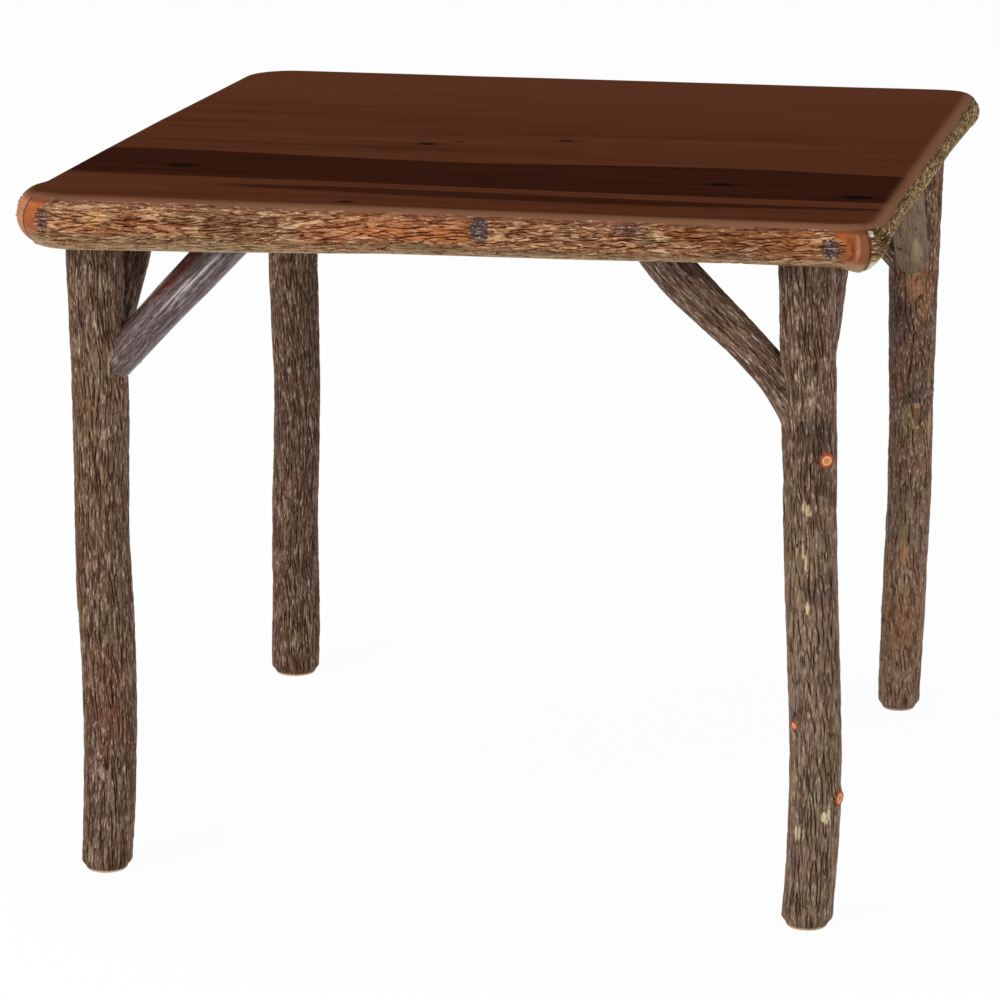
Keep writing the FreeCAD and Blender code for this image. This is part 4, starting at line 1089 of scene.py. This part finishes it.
def measure_rail(rail, out, way, reach, half):
    """Heights of a rail, and how far its crest falls back, at places along it."""
    tree = tree_of(f"{rail}_rail")
    places = np.linspace(-half + RAIL_END, half - RAIL_END, RAIL_PLACES)
    heights, falls = [], []
    for place in places:
        under = way * place + out * (reach - RAIL_INSIDE)
        below = tree.ray_cast(Vector((under.x, under.y, UNDER_RAILS)), UP)[0]
        height = TOP - below.z
        heights.append(height)
        start = way * place + out * (reach + RAIL_OUTSIDE) + UP * (TOP - height / 2)
        falls.append((start - tree.ray_cast(start, -out)[0]).dot(out) - RAIL_OUTSIDE)
    return places, np.array(heights), np.array(falls)


def rail_frame(rail):
    """Outward way, way along, reach out from the table's middle, and half the length."""
    out, way = RAILS[rail][:2]
    reach, half = (HALF_DEPTH, HALF_WIDTH) if rail in ("front", "back") else (HALF_WIDTH, HALF_DEPTH)
    return Vector((*out, 0)), Vector((*way, 0)), reach, half


def corner_heights(measured):
    """At each corner, the mean height of the rails that meet there, enough to hide the block."""
    ends = {}
    for rail, (places, heights, falls) in measured.items():
        first, last = RAILS[rail][2:4]
        ends.setdefault(first, []).append(heights[0])
        ends.setdefault(last, []).append(heights[-1])
    least = TOP - LEG_TOP + BLOCK_COVER
    return {corner: max(least, sum(heights) / len(heights)) for corner, heights in ends.items()}


def between(count):
    """Even shares between 0 and 1, without these two."""
    return np.linspace(0, 1, count + 2)[1:-1]


def make_rail(rail, measured, material, top_material):
    first, last, seed, bare_first, bare_last = RAILS[rail][2:]
    out, way, reach, half = rail_frame(rail)
    places, heights, falls = measured[rail]
    meeting = corner_heights(measured)
    radius_first, radius_last = CORNER_RADII[first], CORNER_RADII[last]
    arc_first, arc_last = radius_first * math.pi / 4, radius_last * math.pi / 4
    straight = 2 * half - radius_first - radius_last
    total = arc_first + straight + arc_last
    station = np.linspace(MITRE_GAP, total - MITRE_GAP, RAIL_STATIONS)
    turn_first = np.maximum(0, arc_first - station) / radius_first
    turn_last = np.maximum(0, station - arc_first - straight) / radius_last
    line = np.clip(station - arc_first, 0, straight) + radius_first - half
    turn = turn_last - turn_first
    radius = np.where(turn < 0, radius_first, radius_last)
    ways = np.cos(turn)[:, None] * np.array(out) + np.sin(turn)[:, None] * np.array(way)
    crest = np.array(out) * reach + line[:, None] * np.array(way) + radius[:, None] * (ways - np.array(out))
    height = np.interp(line, places, heights)
    for corner, gap in ((first, station), (last, total - station)):
        height = height + (meeting[corner] - height) * smooth_step(CORNER_BLEND, 0, gap)
    height = height[:, None]
    fall = np.interp(line, places, falls) * smooth_step(0, FALL_EASE, straight / 2 - abs(line))
    fall = fall[:, None]
    inner = np.where(turn == 0, RAIL_DEPTH, radius - (radius - RAIL_DEPTH) / np.cos(turn))[:, None]

    tilt = np.linspace(math.pi / 2, -math.pi / 2, RAIL_OUTER)[None, :]
    rounding = ROUND_SHARE * height
    offset = RAIL_AXIS - fall - rounding
    arm = offset * np.cos(tilt) + np.sqrt(np.maximum(rounding**2 - (offset * np.sin(tilt)) ** 2, 0))
    arm = np.minimum(arm, height / 2 / np.maximum(abs(np.sin(tilt)), 0.01))
    lengthening = np.diff(arm, axis=1, prepend=arm[:, :1])
    across = np.cumsum(np.hypot(lengthening, arm * (tilt[0, 0] - tilt[0, 1])), axis=1)
    along = np.broadcast_to(station[:, None], across.shape)
    skin = Skin(across, along, None, seed)
    relief, furrow, tone = bark_relief(skin, RAIL_BARK if rail in ("front", "left") else OLIVE_RAIL_BARK)
    skin_points = crest[:, None, :] - (RAIL_AXIS - arm * np.cos(tilt))[..., None] * ways[:, None, :]
    skin_points = skin_points + (TOP - height / 2 + arm * np.sin(tilt))[..., None] * np.array(UP)
    spots, relief, furrow = paint_spots(f"{rail}_rail", skin, skin_points, relief, furrow)
    relief = np.minimum(relief, 0)

    drop = height / 2 - arm * np.sin(tilt)
    low_colour, low_share, low_start = RAIL_UNDERSIDES[rail]
    low_place = drop / height - low_start + 0.06 * skin.noise(9 * MM, 30 * MM)
    lay_over(spots, low_colour, low_share * smooth_step(0, 0.13, low_place))
    # Painted shadow under the stained rounding, where the top's edge meets the bark
    high_place = drop + 1.5 * MM * skin.noise(9 * MM, 14 * MM)
    lay_over(spots, STAIN_EDGE_SHADOW_COLOUR, 0.55 * smooth_step(9 * MM, 5 * MM, high_place))
    ragged = 1 + 0.16 * skin.noise(20 * MM, 30 * MM) + 0.06 * skin.noise(20 * MM, 6 * MM)
    stain = smooth_step(4.6 * MM, 3.6 * MM, drop / ragged)
    edge = 2.5 * MM * skin.noise(9 * MM, 60 * MM) + 1.5 * MM * skin.noise(3 * MM, 60 * MM)
    edge = edge + PEEL_LEAN * smooth_step(16 * MM, 4 * MM, drop) * (rail == "front")
    bare = np.maximum(
        smooth_step(0.5 * MM, -0.5 * MM, along - bare_first - edge),
        smooth_step(0.5 * MM, -0.5 * MM, total - along - bare_last - edge),
    )
    # Painted highlight along the rounded top edge, full near the crest
    highlight_inner = EDGE_HIGHLIGHT_INNER if rail == "front" else EDGE_HIGHLIGHT_INNER_SIDES
    edge_highlight = smooth_step(highlight_inner, EDGE_HIGHLIGHT_OUTER, RAIL_AXIS - arm * np.cos(tilt))
    bark_share = 1 - np.maximum(stain, bare)
    lift = relief * bark_share - PEEL * bare * (1 - stain) * smooth_step(3 * MM, 6 * MM, drop)
    end_gap = np.minimum(along, total - along)
    lift = lift - MITRE_GROOVE * smooth_step(2 * MM, 0.4 * MM, end_gap) * (1 - stain)
    # Painted shadow in the mitre joint, laid over its groove
    lay_over(spots, MITRE_SHADOW_COLOUR, 0.8 * smooth_step(2.4 * MM, 1.2 * MM, end_gap))
    depth = RAIL_AXIS - (arm + lift) * np.cos(tilt)
    level = TOP - height / 2 + (arm + lift) * np.sin(tilt)

    low_depth, high_depth = depth[:, -1:], depth[:, :1]
    bottom_depth = low_depth + (inner - low_depth) * between(RAIL_BOTTOM)
    top_depth = inner + (high_depth - inner) * between(RAIL_FLAT)
    back_depth = np.broadcast_to(inner, (RAIL_STATIONS, RAIL_BACK))

    def round_drop(depths):
        """How far the half log's round lies below the flat of the top."""
        gap = np.maximum(rounding**2 - (rounding + fall - depths) ** 2, 0)
        return np.where(depths - fall < rounding, np.maximum(height / 2 - np.sqrt(gap), 0), 0)

    bottom_level = TOP - height + round_drop(bottom_depth)
    top_level = TOP - round_drop(top_depth)
    back_low, back_high = TOP - height + round_drop(inner), TOP - round_drop(inner)
    back_level = back_low + (back_high - back_low) * np.linspace(0, 1, RAIL_BACK)
    depth = np.concatenate([depth, bottom_depth, back_depth, top_depth], 1)
    level = np.concatenate([level, bottom_level, back_level, top_level], 1)
    columns = depth.shape[1]
    points = crest[:, None, :] - depth[..., None] * ways[:, None, :] + level[..., None] * np.array(UP)

    def widen(values, *fills):
        """A mark carried on over the bottom, the back and the flat of the top, with a value for each."""
        counts = (RAIL_BOTTOM, RAIL_BACK, RAIL_FLAT)
        shapes = [(RAIL_STATIONS, count, *values.shape[2:]) for count in counts]
        filled = [np.full(shape, fill, float) for shape, fill in zip(shapes, fills)]
        return np.concatenate([values, *filled], 1)

    stain, edge_highlight = widen(stain, 0, 0, 1), widen(edge_highlight, 0, 0, 0)
    flat_start = columns - RAIL_FLAT
    stain[:, flat_start - 1] = 1
    # The painted edge highlight carried on over the flat of the top
    edge_highlight[:, flat_start:] = smooth_step(highlight_inner, EDGE_HIGHLIGHT_OUTER, top_depth)
    beyond = across[:, -1:] + np.arange(1, columns - RAIL_OUTER + 1) * COLUMN_STEP
    spread = np.concatenate([across, beyond], 1)
    marks = {
        "furrow": widen(furrow, 1, 1, 1), "tone": widen(tone, 0.5, 0.5, 0.5), "bare": widen(bare, 1, 1, 1),
        "stain": stain, "edge_highlight": edge_highlight, "painted": widen(spots["painted"], 1, 0, 0),
        "paint": widen(spots["paint"], shade(*low_colour)[:3], 0, 0),
        "log_place": np.stack([spread, 0 * spread, station[:, None] + 0 * spread], -1),
    }
    points, marks = points[:, ::-1], {key: values[:, ::-1] for key, values in marks.items()}
    make_piece(f"{rail}_rail_log", points, marks, material, (f"{rail}_rail",), top_material)


# Everything together

make_camera()
make_world()
make_floor()
make_lamp("key", (-2.2, -3.0, 3.0), size=2.6, power=98)
make_lamp("fill", (3.2, -2.6, 1.6), size=2.6, power=42)
make_lamp("top", (0.2, 0.6, 3.2), size=2.4, power=10)

stained, sawn, steel = make_stained(), make_sawn(), make_steel()
leg_bark = make_bark("bark_leg", LEG_LOOK, LEG_WOOD)
back_leg_bark = make_bark("bark_back_leg", BACK_LEG_LOOK, LEG_WOOD)
brace_bark = make_bark("bark_brace", BRACE_LOOK, BRACE_WOOD)
glossy_bark = make_bark("bark_brace_glossy", GLOSSY_LOOK, BRACE_WOOD, specular=GLOSSY_SPECULAR)
grey_bark = make_bark("bark_brace_grey", GREY_LOOK, BRACE_WOOD)
SMOOTH_BRACES = {"front_brace_left": glossy_bark, "right_brace_back": grey_bark}
rail_looks = {"front": RAIL_LOOK, "right": OLIVE_RAIL_LOOK, "back": OLIVE_RAIL_LOOK, "left": RAIL_LOOK}
rail_barks, rail_tops = {}, {}
for rail, look in rail_looks.items():
    wood = ORANGE_WOOD if rail == "front" else SALMON_WOOD
    specular = BARK_SPECULAR if rail == "front" else SIDE_RAIL_SPECULAR
    rail_barks[rail] = make_bark(f"bark_{rail}_rail", look, wood, True, specular)
    rail_tops[rail] = make_bark(f"stained_{rail}_rail", look, wood, True, STAIN_SPECULAR)

SLOT_MATERIALS = {"stained_plank": stained, "frame_wood": sawn, "steel": steel}
for subpart in frame["record"]["subparts"]:
    if subpart["material_slot"] in SLOT_MATERIALS:
        node = NODES[subpart["node"]]
        node.data.materials.clear()
        node.data.materials.append(SLOT_MATERIALS[subpart["material_slot"]])

legs = {corner: measure_leg(corner) for corner in LEG_SEEDS}
for corner, log in legs.items():
    make_leg(corner, log, back_leg_bark if corner == "back_right" else leg_bark)
for name in BRACES:
    make_brace(name, legs, SMOOTH_BRACES.get(name, brace_bark))
measured_rails = {rail: measure_rail(rail, *rail_frame(rail)) for rail in RAILS}
for rail in RAILS:
    make_rail(rail, measured_rails, rail_barks[rail], rail_tops[rail])

bpy.context.scene.view_settings.view_transform = "Standard"
